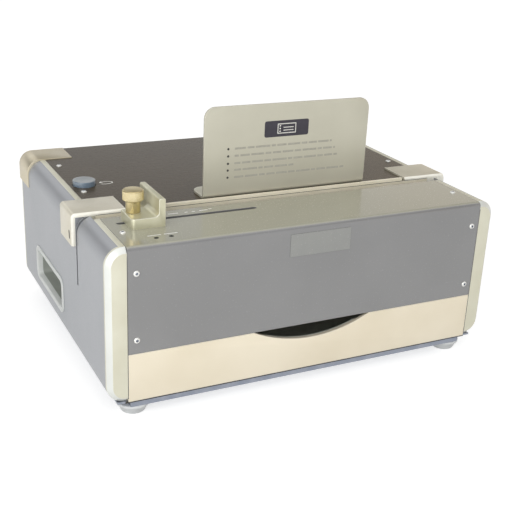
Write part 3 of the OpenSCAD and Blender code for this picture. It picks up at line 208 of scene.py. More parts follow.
# where each pattern or slope begins to count and where it counts in full
finishSpans = {"tones": (0.35, 0.65), "edgeWearAndHighlight": (0.995, 0.88), "upward": (0.7, 0.95), "grain": (0.3, 0.7)}
coatRough = 0.08


# one finish: patches of noise mix two tones, finer noise moves the roughness and the relief,
# and where the rounded normal leaves the flat one, an edge, the edge colour comes in
def makeFinish(name, ownSpec):
    spec = {**plainFinish, **ownSpec}
    material = bpy.data.materials.new(name)
    tree = emptyTree(material)
    place = addNode(tree, "ShaderNodeTexCoord").outputs["Object"]
    drawn = addNode(tree, "ShaderNodeMapping", {"Scale": spec["stretch"]}, {"Vector": place})
    patch = addNode(tree, "ShaderNodeTexNoise", {"Scale": 1000 / spec["patchMm"], "Detail": 3.0},
        {"Vector": place})
    grain = addNode(tree, "ShaderNodeTexNoise", {"Scale": 1000 / spec["grainMm"], "Detail": 2.0},
        {"Vector": drawn.outputs["Vector"]})
    tones = addNode(tree, "ShaderNodeMapRange", fromRange(finishSpans["tones"]),
        {"Value": patch.outputs["Fac"]})
    colour = addNode(tree, "ShaderNodeMix", {6: fromHex(spec["base"]), 7: fromHex(spec["tint"])},
        {0: tones.outputs["Result"]}, data_type="RGBA")
    soft = addNode(tree, "ShaderNodeBevel", {"Radius": spec["edgeMm"] / 1000}, samples=6)
    flat = addNode(tree, "ShaderNodeNewGeometry")
    turn = addNode(tree, "ShaderNodeVectorMath", None,
        {0: soft.outputs["Normal"], 1: flat.outputs["Normal"]}, operation="DOT_PRODUCT")
    # paler edges stand partly for wear and partly for painted highlights
    edgeWearAndHighlight = addNode(tree, "ShaderNodeMapRange", fromRange(finishSpans["edgeWearAndHighlight"]),
        {"Value": turn.outputs["Value"]})
    edged = addNode(tree, "ShaderNodeMix", {7: fromHex(spec["edge"])},
        {0: edgeWearAndHighlight.outputs["Result"], 6: colour.outputs[2]}, data_type="RGBA")
    # faces that look up take the upward tint: painted light and reflection from above
    if spec["upLightTint"]:
        upward = addNode(tree, "ShaderNodeSeparateXYZ", None, {0: flat.outputs["Normal"]})
        litFromAbove = addNode(tree, "ShaderNodeMapRange", {**fromRange(finishSpans["upward"]),
            "To Max": spec["upLightShare"]}, {"Value": upward.outputs["Z"]})
        edged = addNode(tree, "ShaderNodeMix", {7: fromHex(spec["upLightTint"])},
            {0: litFromAbove.outputs["Result"], 6: edged.outputs[2]}, data_type="RGBA")
    gloss = addNode(tree, "ShaderNodeMapRange", {**fromRange(finishSpans["grain"]),
        "To Min": spec["rough"] - spec["spread"], "To Max": spec["rough"] + spec["spread"]},
        {"Value": grain.outputs["Fac"]})
    relief = addNode(tree, "ShaderNodeBump", {"Strength": 1.0, "Distance": spec["depthMm"] / 1000},
        {"Height": grain.outputs["Fac"], "Normal": soft.outputs["Normal"]})
    shader = addNode(tree, "ShaderNodeBsdfPrincipled", {"Metallic": spec["metallic"],
        "Specular IOR Level": spec["gloss"], "Coat Weight": spec["coat"], "Coat Roughness": coatRough,
        "Coat IOR": spec["coatIor"]}, {"Base Color": edged.outputs[2],
        "Roughness": gloss.outputs["Result"], "Normal": relief.outputs["Normal"]})
    addNode(tree, "ShaderNodeOutputMaterial", None, {"Surface": shader.outputs["BSDF"]})
    return material


finishes = {name: makeFinish(name, spec) for name, spec in finishSpecs.items()}
print("finishes made:", len(finishes))

# which finish each CAD solid wears; the solids that pieces stand for are left out
nodeFinish = {
    "throatPaintedLightAluminium": ["throat_back_plate"],
    "satinSilverPaint": ["left_side_cover", "right_side_cover", "rear_panel"],
    "semiGlossGreyPaint": ["front_cover"],
    "glossBrownEnamel": ["deck_plate"],
    "blackNylonAndSlotShade": ["button_switch", "power_inlet", "rocker_housing", "power_rocker", "stop_disc",
        "home_sensor"],
    "sinteredBronze": ["ram_bushes", "shaft_bearings"],
    "nickelPlatedSteel": ["foot_screws", "clamp_nut", "drawer_screws", "bracket_screws", "guide_rods",
        "punch_pins", "eccentric_shaft", "drive_pinion", "board_standoffs"],
    "galvanisedTraySteel": ["drawer_tray"],
    "zincPlatedSteel": ["base_pan", "drawer_runners", "left_mechanism_plate", "right_mechanism_plate",
        "motor_bracket"],
    "groundToolSteel": ["die_plate", "paper_stop", "stripper_plate", "die_screws", "ram_bar", "pin_retainer",
        "ram_yokes", "eccentrics", "main_gear"],
    "satinMotorPaint": ["gear_motor"],
    "solderMaskLaminate": ["control_board"],
    "varnishedCoreSteel": ["transformer"],
}
for finish, wearers in nodeFinish.items():
    for wearer in wearers:
        nodes[wearer].data.materials.clear()
        nodes[wearer].data.materials.append(finishes[finish])
print("CAD solids dressed:", sum(len(w) for w in nodeFinish.values()))

# points closer than this are one point
mergeMm = 0.002


# quads of a grid of points, row by row; a wrapped direction joins its last line to its first
def gridQuads(rows, cols, wrapRows, wrapCols):
    i = np.arange(rows if wrapRows else rows - 1)[:, None]
    j = np.arange(cols if wrapCols else cols - 1)[None, :]
    nextRow, nextCol = (i + 1) % rows * cols, (j + 1) % cols
    return np.stack([i * cols + j, i * cols + nextCol, nextRow + nextCol, nextRow + j], -1).reshape(-1, 4)


# puts a mesh into the scene on its body, with its finishes
def addPiece(name, mesh, body, finishNames):
    piece = bpy.data.objects.new(name, mesh)
    scene.collection.objects.link(piece)
    for finishName in finishNames:
        mesh.materials.append(finishes[finishName])
    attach(piece, body)
    return piece


# joins grids of points (rows, columns, xyz in mm) into one mesh: a quad in each cell, and flat faces
# over the first and last row where caps are asked for; touching points are merged
def makePiece(name, grids, body, finishNames, closed=True, sharp=35):
    points, faces, marks, start = [], [], [], 0
    for grid in grids:
        p = np.asarray(grid["points"], float)
        rows, cols = p.shape[:2]
        quads = gridQuads(rows, cols, grid.get("wrapRows", False), grid.get("wrapCols", False))
        made = (quads + start).tolist()
        if grid.get("caps"):
            last = start + (rows - 1) * cols
            made += [list(range(start + cols - 1, start - 1, -1)), list(range(last, last + cols))]
        faces += made
        marks += [grid.get("finish", 0)] * len(made)
        points.append(p.reshape(-1, 3))
        start += rows * cols
    mesh = bpy.data.meshes.new(name)
    mesh.from_pydata((np.concatenate(points) / 1000).tolist(), [], faces)
    mesh.polygons.foreach_set("material_index", np.array(marks, np.int32))
    shell = bmesh.new()
    shell.from_mesh(mesh)
    bmesh.ops.remove_doubles(shell, verts=shell.verts, dist=mergeMm / 1000)
    if closed:
        bmesh.ops.recalc_face_normals(shell, faces=shell.faces)
    shell.to_mesh(mesh)
    shell.free()
    mesh.shade_smooth()
    mesh.set_sharp_from_angle(angle=math.radians(sharp))
    return addPiece(name, mesh, body, finishNames)


# a grid whose rows are closed rings
def around(points, **more):
    return {"points": points, "wrapCols": True, **more}


# closed rings with a flat face at each end
def tube(points):
    return around(points, caps=True)


# how CAD solids are softened: the degrees that count as flat and as an edge, the segments of a round,
# the least share along -Y of an end's normal, and upward or outward of a face beside it
softEdge = {"flat": 1, "edge": 40, "segments": 3, "end": 0.95, "beside": 0.05}


# a copy of a CAD solid with rounded edges: doubles merged, flat triangles joined, then a bevel of edgeMm;
# bright picks the faces of the second finish: the least and most share of their normal along Y, and the
# least |y| in mm; chamferMm first cuts the edges between the end that faces -Y and the faces beside it
# that look up or away from the middle
def softCopy(name, node, body, slotName, finishNames, edgeMm, bright=None, chamferMm=0):
    mesh = bpy.data.meshes.new(name)
    shell = bmesh.new()
    shell.from_mesh(nodes[node].data)
    bmesh.ops.remove_doubles(shell, verts=shell.verts, dist=mergeMm / 1000)
    bmesh.ops.dissolve_limit(shell, angle_limit=math.radians(softEdge["flat"]), verts=shell.verts,
        edges=shell.edges)
    if chamferMm:
        away = np.sign(corners(node)[0][0])
        endFaces = [face for face in shell.faces if face.normal.y < -softEdge["end"]]
        outer = [edge for face in endFaces for edge in face.edges for other in edge.link_faces
            if other.normal.y > -softEdge["end"]
            and max(other.normal.z, other.normal.x * away) > softEdge["beside"]]
        bmesh.ops.bevel(shell, geom=outer, offset=chamferMm / 1000, offset_type="OFFSET", segments=1,
            profile=0.5, affect="EDGES")
    shell.to_mesh(mesh)
    shell.free()
    mesh.shade_smooth()
    if bright:
        facing, middle = np.empty((2, len(mesh.polygons) * 3))
        mesh.polygons.foreach_get("normal", facing)
        mesh.polygons.foreach_get("center", middle)
        share, out = np.abs(facing[1::3]), np.abs(middle[1::3]) * 1000
        second = (share > bright[0]) & (share < bright[1]) & (out > bright[2])
        mesh.polygons.foreach_set("material_index", second.astype(np.int32))
    piece = addPiece(name, mesh, body, finishNames)
    rounded = piece.modifiers.new("roundedEdge", "BEVEL")
    rounded.width = edgeMm / 1000
    rounded.segments = softEdge["segments"]
    rounded.limit_method = "ANGLE"
    rounded.angle_limit = math.radians(softEdge["edge"])
    rounded.harden_normals = True
    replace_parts(piece, node)


# a line with its corners rounded: each corner becomes an arc that touches both sides,
# its centre on the bisector at radius / sin(half angle); a corner of radius 0 stays sharp
def roundedLine(cornersAt, radii, steps=6):
    p = np.asarray(cornersAt, float)
    r = np.asarray(radii, float)[:, None]
    back, ahead = np.roll(p, 1, 0) - p, np.roll(p, -1, 0) - p
    back /= np.linalg.norm(back, axis=1, keepdims=True)
    ahead /= np.linalg.norm(ahead, axis=1, keepdims=True)
    half = np.arccos(np.clip((back * ahead).sum(1, keepdims=True), -0.9999, 0.9999)) / 2
    middle = back + ahead
    middle /= np.maximum(np.linalg.norm(middle, axis=1, keepdims=True), 1e-9)
    centre = p + middle * r / np.sin(half)
    first, last = p + back * r / np.tan(half) - centre, p + ahead * r / np.tan(half) - centre
    sweep = np.pi - 2 * half
    t = np.linspace(0, 1, steps)[None, :, None]
    arc = np.sin((1 - t) * sweep[:, None]) * first[:, None] + np.sin(t * sweep[:, None]) * last[:, None]
    return (centre[:, None] + arc / np.sin(sweep[:, None])).reshape(-1, p.shape[1])


# a rectangle with round corners as a closed ring of points, four quarter circles joined by straight sides
def roundRing(width, height, radius, steps=8):
    a = np.arange(4)[:, None] * np.pi / 2 + np.linspace(0, np.pi / 2, steps)[None, :]
    signs = np.array([(1, 1), (-1, 1), (-1, -1), (1, -1)], float)[:, None, :]
    middle = signs * (np.array([width, height]) / 2 - radius)
    return (middle + radius * np.stack([np.cos(a), np.sin(a)], -1)).reshape(-1, 2)


# a turned shape: each point of the profile (radius, height) goes once round the axis;
# ridges takes a depth, per row and angle, off the radius; turn and origin, in mm, put it in place
def turned(profile, origin, count=48, turn=np.eye(3), ridges=None):
    a = np.arange(count) * 2 * np.pi / count
    r = profile[:, :1] - (0 if ridges is None else ridges(a)) * np.ones(count)
    p = np.stack([r * np.cos(a), r * np.sin(a), profile[:, 1:] * np.ones(count)], -1)
    return p @ np.asarray(turn, float).T + np.asarray(origin, float)


# upright turned shapes, one at each place, that stand for a CAD node; a ring's profile is closed
def turnedPiece(name, node, profile, places, body, finishName, count=48, ridges=None, ring=False):
    grids = [around(turned(profile, at, count, ridges=ridges), wrapRows=ring) for at in places]
    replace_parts(makePiece(name, grids, body, [finishName]), node)


# thumb screw: a turned profile whose head carries straight ridges, a triangle wave round the axis
thumbScrew = {"neckRadius": 7.2, "neckHeight": 12.0, "headHeight": 10.7, "stemRadius": 2.45, "edge": 1.1,
    "ridges": 72, "ridgeDepth": 0.3, "pointsPerRidge": 5}
lo, hi = corners("thumb_screw")
stemR, neckR, edge = (thumbScrew[key] for key in ("stemRadius", "neckRadius", "edge"))
headR, headTop = (hi[0] - lo[0]) / 2, hi[2]
headLow = headTop - thumbScrew["headHeight"]
neckLow = headLow - thumbScrew["neckHeight"]
thumbLine = roundedLine([(0, lo[2]), (stemR, lo[2]), (stemR, neckLow), (neckR, neckLow), (neckR, headLow),
    (headR - edge, headLow), (headR, headLow + edge), (headR, headTop - edge), (headR - edge, headTop),
    (0, headTop)], [0, 0, 0, 0.5, 0.3, 0.3, 0.2, 0.2, 0.3, 0], steps=4)
onRidges = ((thumbLine[:, 0] > headR - edge / 2) & (thumbLine[:, 1] > headLow)).astype(float)[:, None]


# how much the triangle wave takes off the head's rows at each angle
def thumbRidges(a):
    wave = np.abs(2 * (a * thumbScrew["ridges"] / (2 * np.pi) % 1) - 1)
    return onRidges * thumbScrew["ridgeDepth"] * wave


turnedPiece("thumbScrewBrass", "thumb_screw", thumbLine, [(*(lo + hi)[:2] / 2, 0)], "thumb",
    "turnedBrass", thumbScrew["ridges"] * thumbScrew["pointsPerRidge"], thumbRidges)

# push button: a turned cap over its skirt and stem; inside its flat rim the dish goes down by
# depth * (1 - share^2), share being how far out from the axis
pushButton = {"stemRadius": 4.0, "skirt": 14.5, "edge": 0.6, "dish": 0.2, "rimShare": 0.84,
    "dishShare": 0.82, "columns": 64}
lo, hi = corners("push_button")
stemR, buttonR, skirtLow = pushButton["stemRadius"], (hi[0] - lo[0]) / 2, hi[2] - pushButton["skirt"]
shares = np.linspace(1, 0, 8)
dishR, dishZ = buttonR * pushButton["dishShare"] * shares, hi[2] - pushButton["dish"] * (1 - shares ** 2)
capLine = roundedLine([(0, lo[2]), (stemR, lo[2]), (stemR, skirtLow), (buttonR, skirtLow), (buttonR, hi[2]),
    (buttonR * pushButton["rimShare"], hi[2])], [0, 0.5, 0, 0.4, pushButton["edge"], 0])
buttonLine = np.concatenate([capLine, np.stack([dishR, dishZ], -1)])
turnedPiece("pushButtonCap", "push_button", buttonLine, [(*(lo + hi)[:2] / 2, 0)], "button",
    "satinBlueAbs", pushButton["columns"])

# feet: a turned taper below a round rim, hollow for the screw's head
footShape = {"lowRadius": 12.0, "waistRadius": 15.6, "rimRadius": 17.0, "rimHeight": 3.2, "boreRadius": 2.05,
    "hollowRadius": 4.2, "hollowDepth": 4.0}
hi = corners("feet")[1]
boreR, hollowR, rimR = (footShape[key] for key in ("boreRadius", "hollowRadius", "rimRadius"))
deep, rimLow = footShape["hollowDepth"], hi[2] - footShape["rimHeight"]
footLine = roundedLine([(boreR, hi[2]), (boreR, deep), (hollowR, deep), (hollowR, 0),
    (footShape["lowRadius"], 0), (footShape["waistRadius"], rimLow), (rimR, rimLow), (rimR, hi[2])],
    [0, 0, 0, 0.6, 1.2, 0.6, 1.0, 0.9])
turnedPiece("rubberFeet", "feet", footLine, [(sx * (hi[0] - rimR), sy * (hi[1] - rimR), 0) for sx in (-1, 1)
    for sy in (-1, 1)], "case", "mattGreyRubber", ring=True)

# case screws: a domed head with a six-sided socket; inside the socket the radius follows the hexagon,
# the flat distance divided by the cosine of the angle from the middle of its side
caseScrew = {"headRadius": 3.0, "headHeight": 1.6, "wallHeight": 0.7, "crown": (1.55, 2.1),
    "socketFlat": 1.3, "socketFloor": 0.15, "socketLead": 0.08, "shankRadius": 1.5, "shankLength": 5.5,
    "columns": 36, "sideX": 191, "faceZ": (85.5, 154), "topY": (-132, -2, 99), "restX": (-48.5, 81.5),
    "restY": -48.5, "restRise": 3}
headR, headTop, shankR = (caseScrew[key] for key in ("headRadius", "headHeight", "shankRadius"))
socketLine = [(share, caseScrew["socketFloor"]) for share in (0, 0.6, 1)]
socketLine += [(1, headTop - caseScrew["socketLead"])]
headLine = roundedLine([(caseScrew["crown"][0], headTop), (caseScrew["crown"][1], headTop),
    (headR, caseScrew["wallHeight"]), (headR, 0), (shankR, 0), (shankR, -caseScrew["shankLength"]),
    (0, -caseScrew["shankLength"])], [0, 0.9, 0.4, 0, 0, 0.3, 0], steps=5)
screwLine = np.concatenate([socketLine, headLine])
socketRows = len(socketLine)
inSocket = (np.arange(len(screwLine)) < socketRows).astype(float)[:, None]


# how much the hexagon takes off the socket's rows, which are given as shares of it
def socketShape(a):
    flat = caseScrew["socketFlat"] / np.cos((a + np.pi / 6) % (np.pi / 3) - np.pi / 6)
    return inSocket * screwLine[:, :1] * (1 - flat)


faceTurns = {"top": np.eye(3), "front": [[1, 0, 0], [0, 0, -1], [0, 1, 0]],
    "rear": [[-1, 0, 0], [0, 0, 1], [0, 1, 0]]}
top = corners("deck_plate")[1][2]
frontY, rearY = corners("drawer_front")[0][1], corners("rear_panel")[1][1]
screwX = (-caseScrew["sideX"], caseScrew["sideX"])
screwPlaces = [(way, (x, y, z)) for way, y in (("front", frontY), ("rear", rearY)) for x in screwX
    for z in caseScrew["faceZ"]]
screwPlaces += [("top", (x, y, top)) for x in screwX for y in caseScrew["topY"]]
screwPlaces += [("top", (x, caseScrew["restY"], top + caseScrew["restRise"])) for x in caseScrew["restX"]]
screws = [turned(screwLine, at, caseScrew["columns"], faceTurns[way], socketShape)
    for way, at in screwPlaces]
# the socket's rows wear the darker zinc finish, painted shade inside the socket
screwGrids = [around(screw[:socketRows], finish=1) for screw in screws]
screwGrids += [around(screw[socketRows - 1:]) for screw in screws]
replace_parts(makePiece("caseScrewSet", screwGrids, "case",
    ["brightZincScrew", "zincPlatedSteel"]), "case_screws")

# indicator lenses: turned domes, height * (1 - share^2) high, with a collar under the sheet
lensShape = {"radius": 2.5, "dome": 0.7, "flange": 4.0, "flangeHeight": 1.5, "columns": 32}
lo, hi = corners("indicator_lenses")
lensR, flange, flangeTop = lensShape["radius"], lensShape["flange"], lo[2] + lensShape["flangeHeight"]
lensLine = np.concatenate([[(0, lo[2]), (flange, lo[2]), (flange, flangeTop), (lensR, flangeTop)],
    np.stack([lensR * shares, hi[2] + lensShape["dome"] * (1 - shares ** 2)], -1)])
turnedPiece("indicatorLensDomes", "indicator_lenses", lensLine, [(x, (lo[1] + hi[1]) / 2, 0)
    for x in (lo[0] + flange, hi[0] - flange)], "case", "smokedAcrylic", lensShape["columns"])

# hand grips: one section carried round the rounded opening, each row the ring drawn out by a margin at a
# depth; it runs up the outside of the pocket, over the bezel, down the pale lip, which ends at the sixth
# corner, and down the dark inside
handGrip = {"length": 106.0, "height": 31.0, "corner": 5.0, "wall": 2.0, "bezel": 5.5, "proud": 1.2,
    "depth": 28.0, "lip": 6.0, "lipDraft": 0.24, "draft": 0.8, "arcSteps": 5, "lipCorners": 6}
wall, bezel, lipRows = handGrip["wall"], handGrip["bezel"], handGrip["lipCorners"] * handGrip["arcSteps"]
for side, sign in bothSides:
    lo, hi = corners(side + "_hand_grip")
    outer = reachX(side + "_hand_grip")[1]
    face = outer - handGrip["proud"]
    deep = face - handGrip["depth"]
    section = roundedLine([(wall, deep - wall), (wall, face), (bezel, face), (bezel, outer), (0, outer),
        (-handGrip["lipDraft"], outer - handGrip["lip"]), (-handGrip["draft"], deep)],
        [0, 0, 0, 0.9, 1.1, 0, 0], handGrip["arcSteps"])
    rings = np.stack([np.insert((lo + hi)[1:] / 2 + roundRing(handGrip["length"] + 2 * margin,
        handGrip["height"] + 2 * margin, handGrip["corner"] + margin), 0, sign * depth, 1)
        for margin, depth in section])
    gripGrids = [around(rings[:lipRows]), around(rings[lipRows - 1:], finish=1)]
    gripPiece = makePiece(side + "GripMoulding", gripGrids, "case",
        ["texturedGreyAbs", "texturedDarkAbs"], closed=False)
    shell = bmesh.new()
    shell.from_mesh(gripPiece.data)
    bmesh.ops.holes_fill(shell, edges=shell.edges)
    bmesh.ops.recalc_face_normals(shell, faces=shell.faces)
    shell.to_mesh(gripPiece.data)
    shell.free()
    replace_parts(gripPiece, side + "_hand_grip")

# backrest: the sheet's front line bends through a quarter circle into its foot; across, each row is as wide
# as the round corners leave it: half width - r + sqrt(r^2 - (r - distance from the end)^2)
backrest = {"thickness": 3.0, "bend": 4.5, "corner": 12.0, "edge": 0.5, "cornerRows": 9, "bendRows": 6,
    "columns": 9}
lo, hi = corners("backrest_plate")
corner, bendR = backrest["corner"], backrest["bend"]
ends = corner * (1 - np.cos(np.linspace(0, np.pi / 2, backrest["cornerRows"])))
quarter = np.linspace(0, np.pi / 2, backrest["bendRows"] + 2)[1:-1]
flat = np.ones(len(ends) + 1)
lineY = np.concatenate([flat * lo[1], lo[1] + bendR * (1 - np.cos(quarter)), [lo[1] + bendR],
    hi[1] - ends[::-1]])
lineZ = np.concatenate([hi[2] - ends, [lo[2] + bendR], lo[2] + bendR * (1 - np.sin(quarter)), flat * lo[2]])
fromEnd = np.concatenate([ends, np.full(len(lineY) - 2 * len(ends), corner), ends[::-1]])
halfWide = (hi[0] - lo[0]) / 2 - corner + np.sqrt(np.maximum(0, corner ** 2 - (corner - fromEnd) ** 2))
acrossX = np.linspace(-1, 1, backrest["columns"]) * halfWide[:, None] + (lo[0] + hi[0]) / 2
restPoints = np.stack(np.broadcast_arrays(acrossX, lineY[:, None], lineZ[:, None]), -1)
restPiece = makePiece("backrestSheet", [{"points": restPoints}], "case",
    ["anodisedSheetAluminium"], closed=False)
sheet = restPiece.modifiers.new("sheetThickness", "SOLIDIFY")
sheet.thickness = backrest["thickness"] / 1000
sheet.offset = 1.0
rounded = restPiece.modifiers.new("cutEdge", "BEVEL")
rounded.width = backrest["edge"] / 1000
rounded.segments = 2
rounded.limit_method = "ANGLE"
rounded.angle_limit = math.radians(60)
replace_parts(restPiece, "backrest_plate")

# milled and cut pieces whose edges show: the edge guide, the brackets with their sawn ends in a bright
# finish, partly bare metal and partly a painted highlight, the frames with their chamfers in a painted
# highlight, and the drawer's front;
# rounds and the bracket's chamfer in mm
cutPieces = {"guideRound": 2.0, "bracketRound": 0.4, "frameRound": 0.3, "drawerRound": 0.9,
    "bracketChamfer": 1.8, "highlightEndFaces": (0.35, 1.01, 69), "highlightChamferFaces": (0.35, 0.92, 155)}
softCopy("edgeGuideBlock", "edge_guide", "guide", "champagne_aluminium", ["blastedGuideAluminium"],
    cutPieces["guideRound"])
bracketLooks = {"front": (["milledBracketAluminium", "sawnAluminiumEdge"], cutPieces["bracketRound"],
    cutPieces["highlightEndFaces"], cutPieces["bracketChamfer"]),
    "rear": (["rolledBracketAluminium"], cutPieces["bracketRound"])}
for end, look in bracketLooks.items():
    for side in ("left", "right"):
        softCopy(end + side.capitalize() + "BracketPlate", end + "_" + side + "_bracket", "case",
            "champagne_aluminium", *look)
for side in ("left", "right"):
    softCopy(side + "FrameCasting", side + "_side_frame", "case", "champagne_aluminium",
        ["blastedChampagneAluminium", "chamferPaintedHighlight"], cutPieces["frameRound"],
        cutPieces["highlightChamferFaces"])

# shims in the corner between a front bracket's square inside and the cover's round shoulder: a wedge of
# two straight sides and an arc, carried along the bracket, and a plug, a short block in the cover's hollow
# on the left and a thin plate over the whole corner on the right
# on the right the shim wears the bright sawn finish, a painted highlight over the corner's shade under the
# bracket; on the left it wears the cover's paint
cornerShim = {"shoulder": 18.0, "gap": 0.1, "clear": 0.3, "inset": 0.4, "arcPoints": 14, "bracketMm": 4.0,
    "plugTall": 6.0, "plugX": {"left": (0.1, 5.0), "right": (-6.0, 17.5)},
    "plugY": {"left": (0.4, 3.4), "right": (-0.3, -0.05)},
    "finish": {"left": "satinSilverPaint", "right": "sawnAluminiumEdge"}}
gap, shoulder, inset = (cornerShim[key] for key in ("gap", "shoulder", "inset"))
underside = corners("front_left_bracket")[1][2] - cornerShim["bracketMm"]
shimTop, plugLow = underside - gap, underside - cornerShim["plugTall"]
a = np.linspace(0, np.pi / 2, cornerShim["arcPoints"])
for side, sign in bothSides:
    lo, hi = corners("front_" + side + "_bracket")
    hollowX, edgeX = reachX(side + "_side_cover")
    arc = np.stack([np.cos(a), np.sin(a)], -1) * (shoulder + gap) + (edgeX - shoulder, top - shoulder)
    arc = arc[(arc < np.array([edgeX, underside]) - cornerShim["clear"]).all(1)]
    wedge = np.concatenate([[(edgeX - gap, arc[0, 1])], arc,
        [(arc[-1, 0], shimTop), (edgeX - gap, shimTop)]])
    nearX, farX = np.add(hollowX, cornerShim["plugX"][side])
    plug = np.array([(nearX, plugLow), (farX, plugLow), (farX, shimTop), (nearX, shimTop)])
    outlines = ((wedge, (lo[1] + inset, hi[1] - inset)), (plug, np.add(lo[1], cornerShim["plugY"][side])))
    makePiece(side + "BracketShim", [tube(np.stack([np.insert(outline * (sign, 1), 1, y, 1) for y in ys]))
        for outline, ys in outlines], "case", [cornerShim["finish"][side]])
softCopy("drawerFrontPlate", "drawer_front", "drawer", "drawer_aluminium", ["brushedDrawerAluminium"],
    cutPieces["drawerRound"])
print("turned, bent and cut pieces made")

# the film of ink in a print, in mm
inkFilm = 0.06


# marks printed on a flat face: each is a rectangle (centre, size, corner share) with a quarter circle at
# every corner, on the plane through origin along two directions, and stands off it by the film of ink
def printMarks(name, marks, origin, along, up, finishName, slotName, body="case"):
    flat = np.stack([roundRing(w, h, c * min(w, h) / 2, steps=5) + (x, y) for x, y, w, h, c in marks])
    along, up = np.asarray(along, float), np.asarray(up, float)
    low = np.asarray(origin, float) + flat[..., :1] * along + flat[..., 1:] * up
    rings = np.stack([low, low + inkFilm * np.cross(along, up)], 1)
    makePiece(name, [tube(ring) for ring in rings], body, [finishName])


# prints on the backrest: a dark label with a plain sheet sign, and rows of broken bars with round bullets
restPrint = {"label": (13.3, 250.1, 52.6, 17.5, 0.25),
    "signFrame": [(0, 5, 22, 0.9, 0), (0, -5, 22, 0.9, 0), (-10.6, 0, 0.9, 9.0, 0), (10.6, 0, 0.9, 9.0, 0)],
    "signHoles": [(-8, -3, 1.7, 1.7, 1), (-8, 0, 1.7, 1.7, 1), (-8, 3, 1.7, 1.7, 1)],
    "signLines": [(2, -2, 12, 0.8, 0), (2, 1, 12, 0.8, 0)],
    "rows": (232.4, 224.6, 216.6, 209.3, 201.5), "rowEnds": (69.7, 74.5, 77.6, 23.8, 87.1),
    "rowStart": -46.8, "words": (13, 8, 17, 5, 11, 15, 7, 10), "repeats": 3, "shift": 3, "gap": 1.7,
    "shortest": 2.0, "barHeight": 2.2, "barCorner": 0.4, "bulletX": -54.2, "bullet": 2.6}
restY = corners("backrest_plate")[0][1]
restPlane = ((0, restY, 0), (1, 0, 0), (0, 0, 1))
printMarks("backrestLabel", [restPrint["label"]], *restPlane, "violetInk", "black_plastic")
signMarks = np.array(restPrint["signFrame"] + restPrint["signHoles"] + restPrint["signLines"])
printMarks("backrestLabelSign", signMarks + (*restPrint["label"][:2], 0, 0, 0), (0, restY - inkFilm, 0),
    *restPlane[1:], "whiteInk", "grip_plastic")
bars = []
for row, (z, end) in enumerate(zip(restPrint["rows"], restPrint["rowEnds"])):
    lengths = np.roll(np.tile(restPrint["words"], restPrint["repeats"]), -row * restPrint["shift"])
    starts = restPrint["rowStart"] + np.concatenate([[0], np.cumsum(lengths + restPrint["gap"])[:-1]])
    stops = np.minimum(starts + lengths, end)
    keep = stops - starts > restPrint["shortest"]
    bars += [(s / 2 + e / 2, z, e - s, restPrint["barHeight"], restPrint["barCorner"])
        for s, e in zip(starts[keep], stops[keep])]
printMarks("backrestBars", bars, *restPlane, "greyInk", "grip_plastic")
printMarks("backrestBullets", [(restPrint["bulletX"], z, restPrint["bullet"], restPrint["bullet"], 1)
    for z in restPrint["rows"]], *restPlane, "blackInk", "black_plastic")

# prints on the top plate: dashes by the lenses and the guide slot
topPrint = {"lensDashes": [(-165.5, -148, 13.5, 1.5, 0.5), (-149, -148, 13.5, 1.5, 0.5)],
    "scaleDashes": [(-127, -96.5, 11, 1.6, 0.5), (-113, -96.8, 3.5, 1.5, 0.5), (-105, -96.8, 3.5, 1.5, 0.5),
        (-94, -96.5, 9, 1.6, 0.5), (-86, -94.8, 3.5, 1.4, 0.5)]}
printMarks("topPlateDashes", topPrint["lensDashes"] + topPrint["scaleDashes"], (0, 0, top), (1, 0, 0),
    (0, 1, 0), "whiteInk", "grip_plastic")

# turning mark on the deck: a flat section carried along an ellipse, its width opening into an arrow head
turnMark = {"at": (-159.5, 22.0), "halves": (7.4, 4.2), "line": 1.1, "head": 4.2, "tipShare": 0.02,
    "from": 215, "to": 520, "points": 64, "headPoints": 9}
a = np.radians(np.linspace(turnMark["from"], turnMark["to"], turnMark["points"]))
loop = np.stack([np.cos(a), np.sin(a)], -1) * turnMark["halves"] + turnMark["at"]
ahead = np.gradient(loop, axis=0)
ahead /= np.linalg.norm(ahead, axis=1, keepdims=True)
wide = np.full(turnMark["points"], turnMark["line"])
head = turnMark["head"] * np.linspace(1, turnMark["tipShare"], turnMark["headPoints"])
wide[-len(head):] = head
square = np.stack([-ahead[:, 1], ahead[:, 0]], -1) * wide[:, None] / 2
sections = np.stack([loop + square, loop - square, loop - square, loop + square], 1)
levels = np.broadcast_to(top + np.array([0, 0, 1, 1]) * inkFilm, (turnMark["points"], 4))
makePiece("deckTurnMark", [tube(np.concatenate([sections, levels[..., None]], -1))], "case",
    ["whiteInk"])

# black cups in the brackets' slots, painted shade that darkens them: a cup whose section goes up the
# outside, over the rim and down to its floor, each row a ring with round ends
slotShadeCup = {"wide": 4.1, "tall": 9.9, "wall": 0.2, "rim": 0.2, "floor": 0.4, "gap": 0.05}
lo, hi = corners("bracket_screws")
slotWide, slotTall, wall = (slotShadeCup[key] for key in ("wide", "tall", "wall"))
for side, sign in bothSides:
    rimX = reachX("front_" + side + "_bracket")[1] - slotShadeCup["rim"]
    coverX = reachX(side + "_side_cover")[1]
    cup = [(0, coverX + slotShadeCup["gap"]), (0, rimX), (wall, rimX), (wall, coverX + slotShadeCup["floor"])]
    rings = [np.insert((lo + hi)[1:] / 2 + roundRing(slotWide - 2 * inward, slotTall - 2 * inward,
        slotWide / 2 - inward), 0, sign * x, 1) for inward, x in cup]
    makePiece(side + "SlotShadeCup", [tube(np.stack(rings))], "case", ["blackNylonAndSlotShade"])

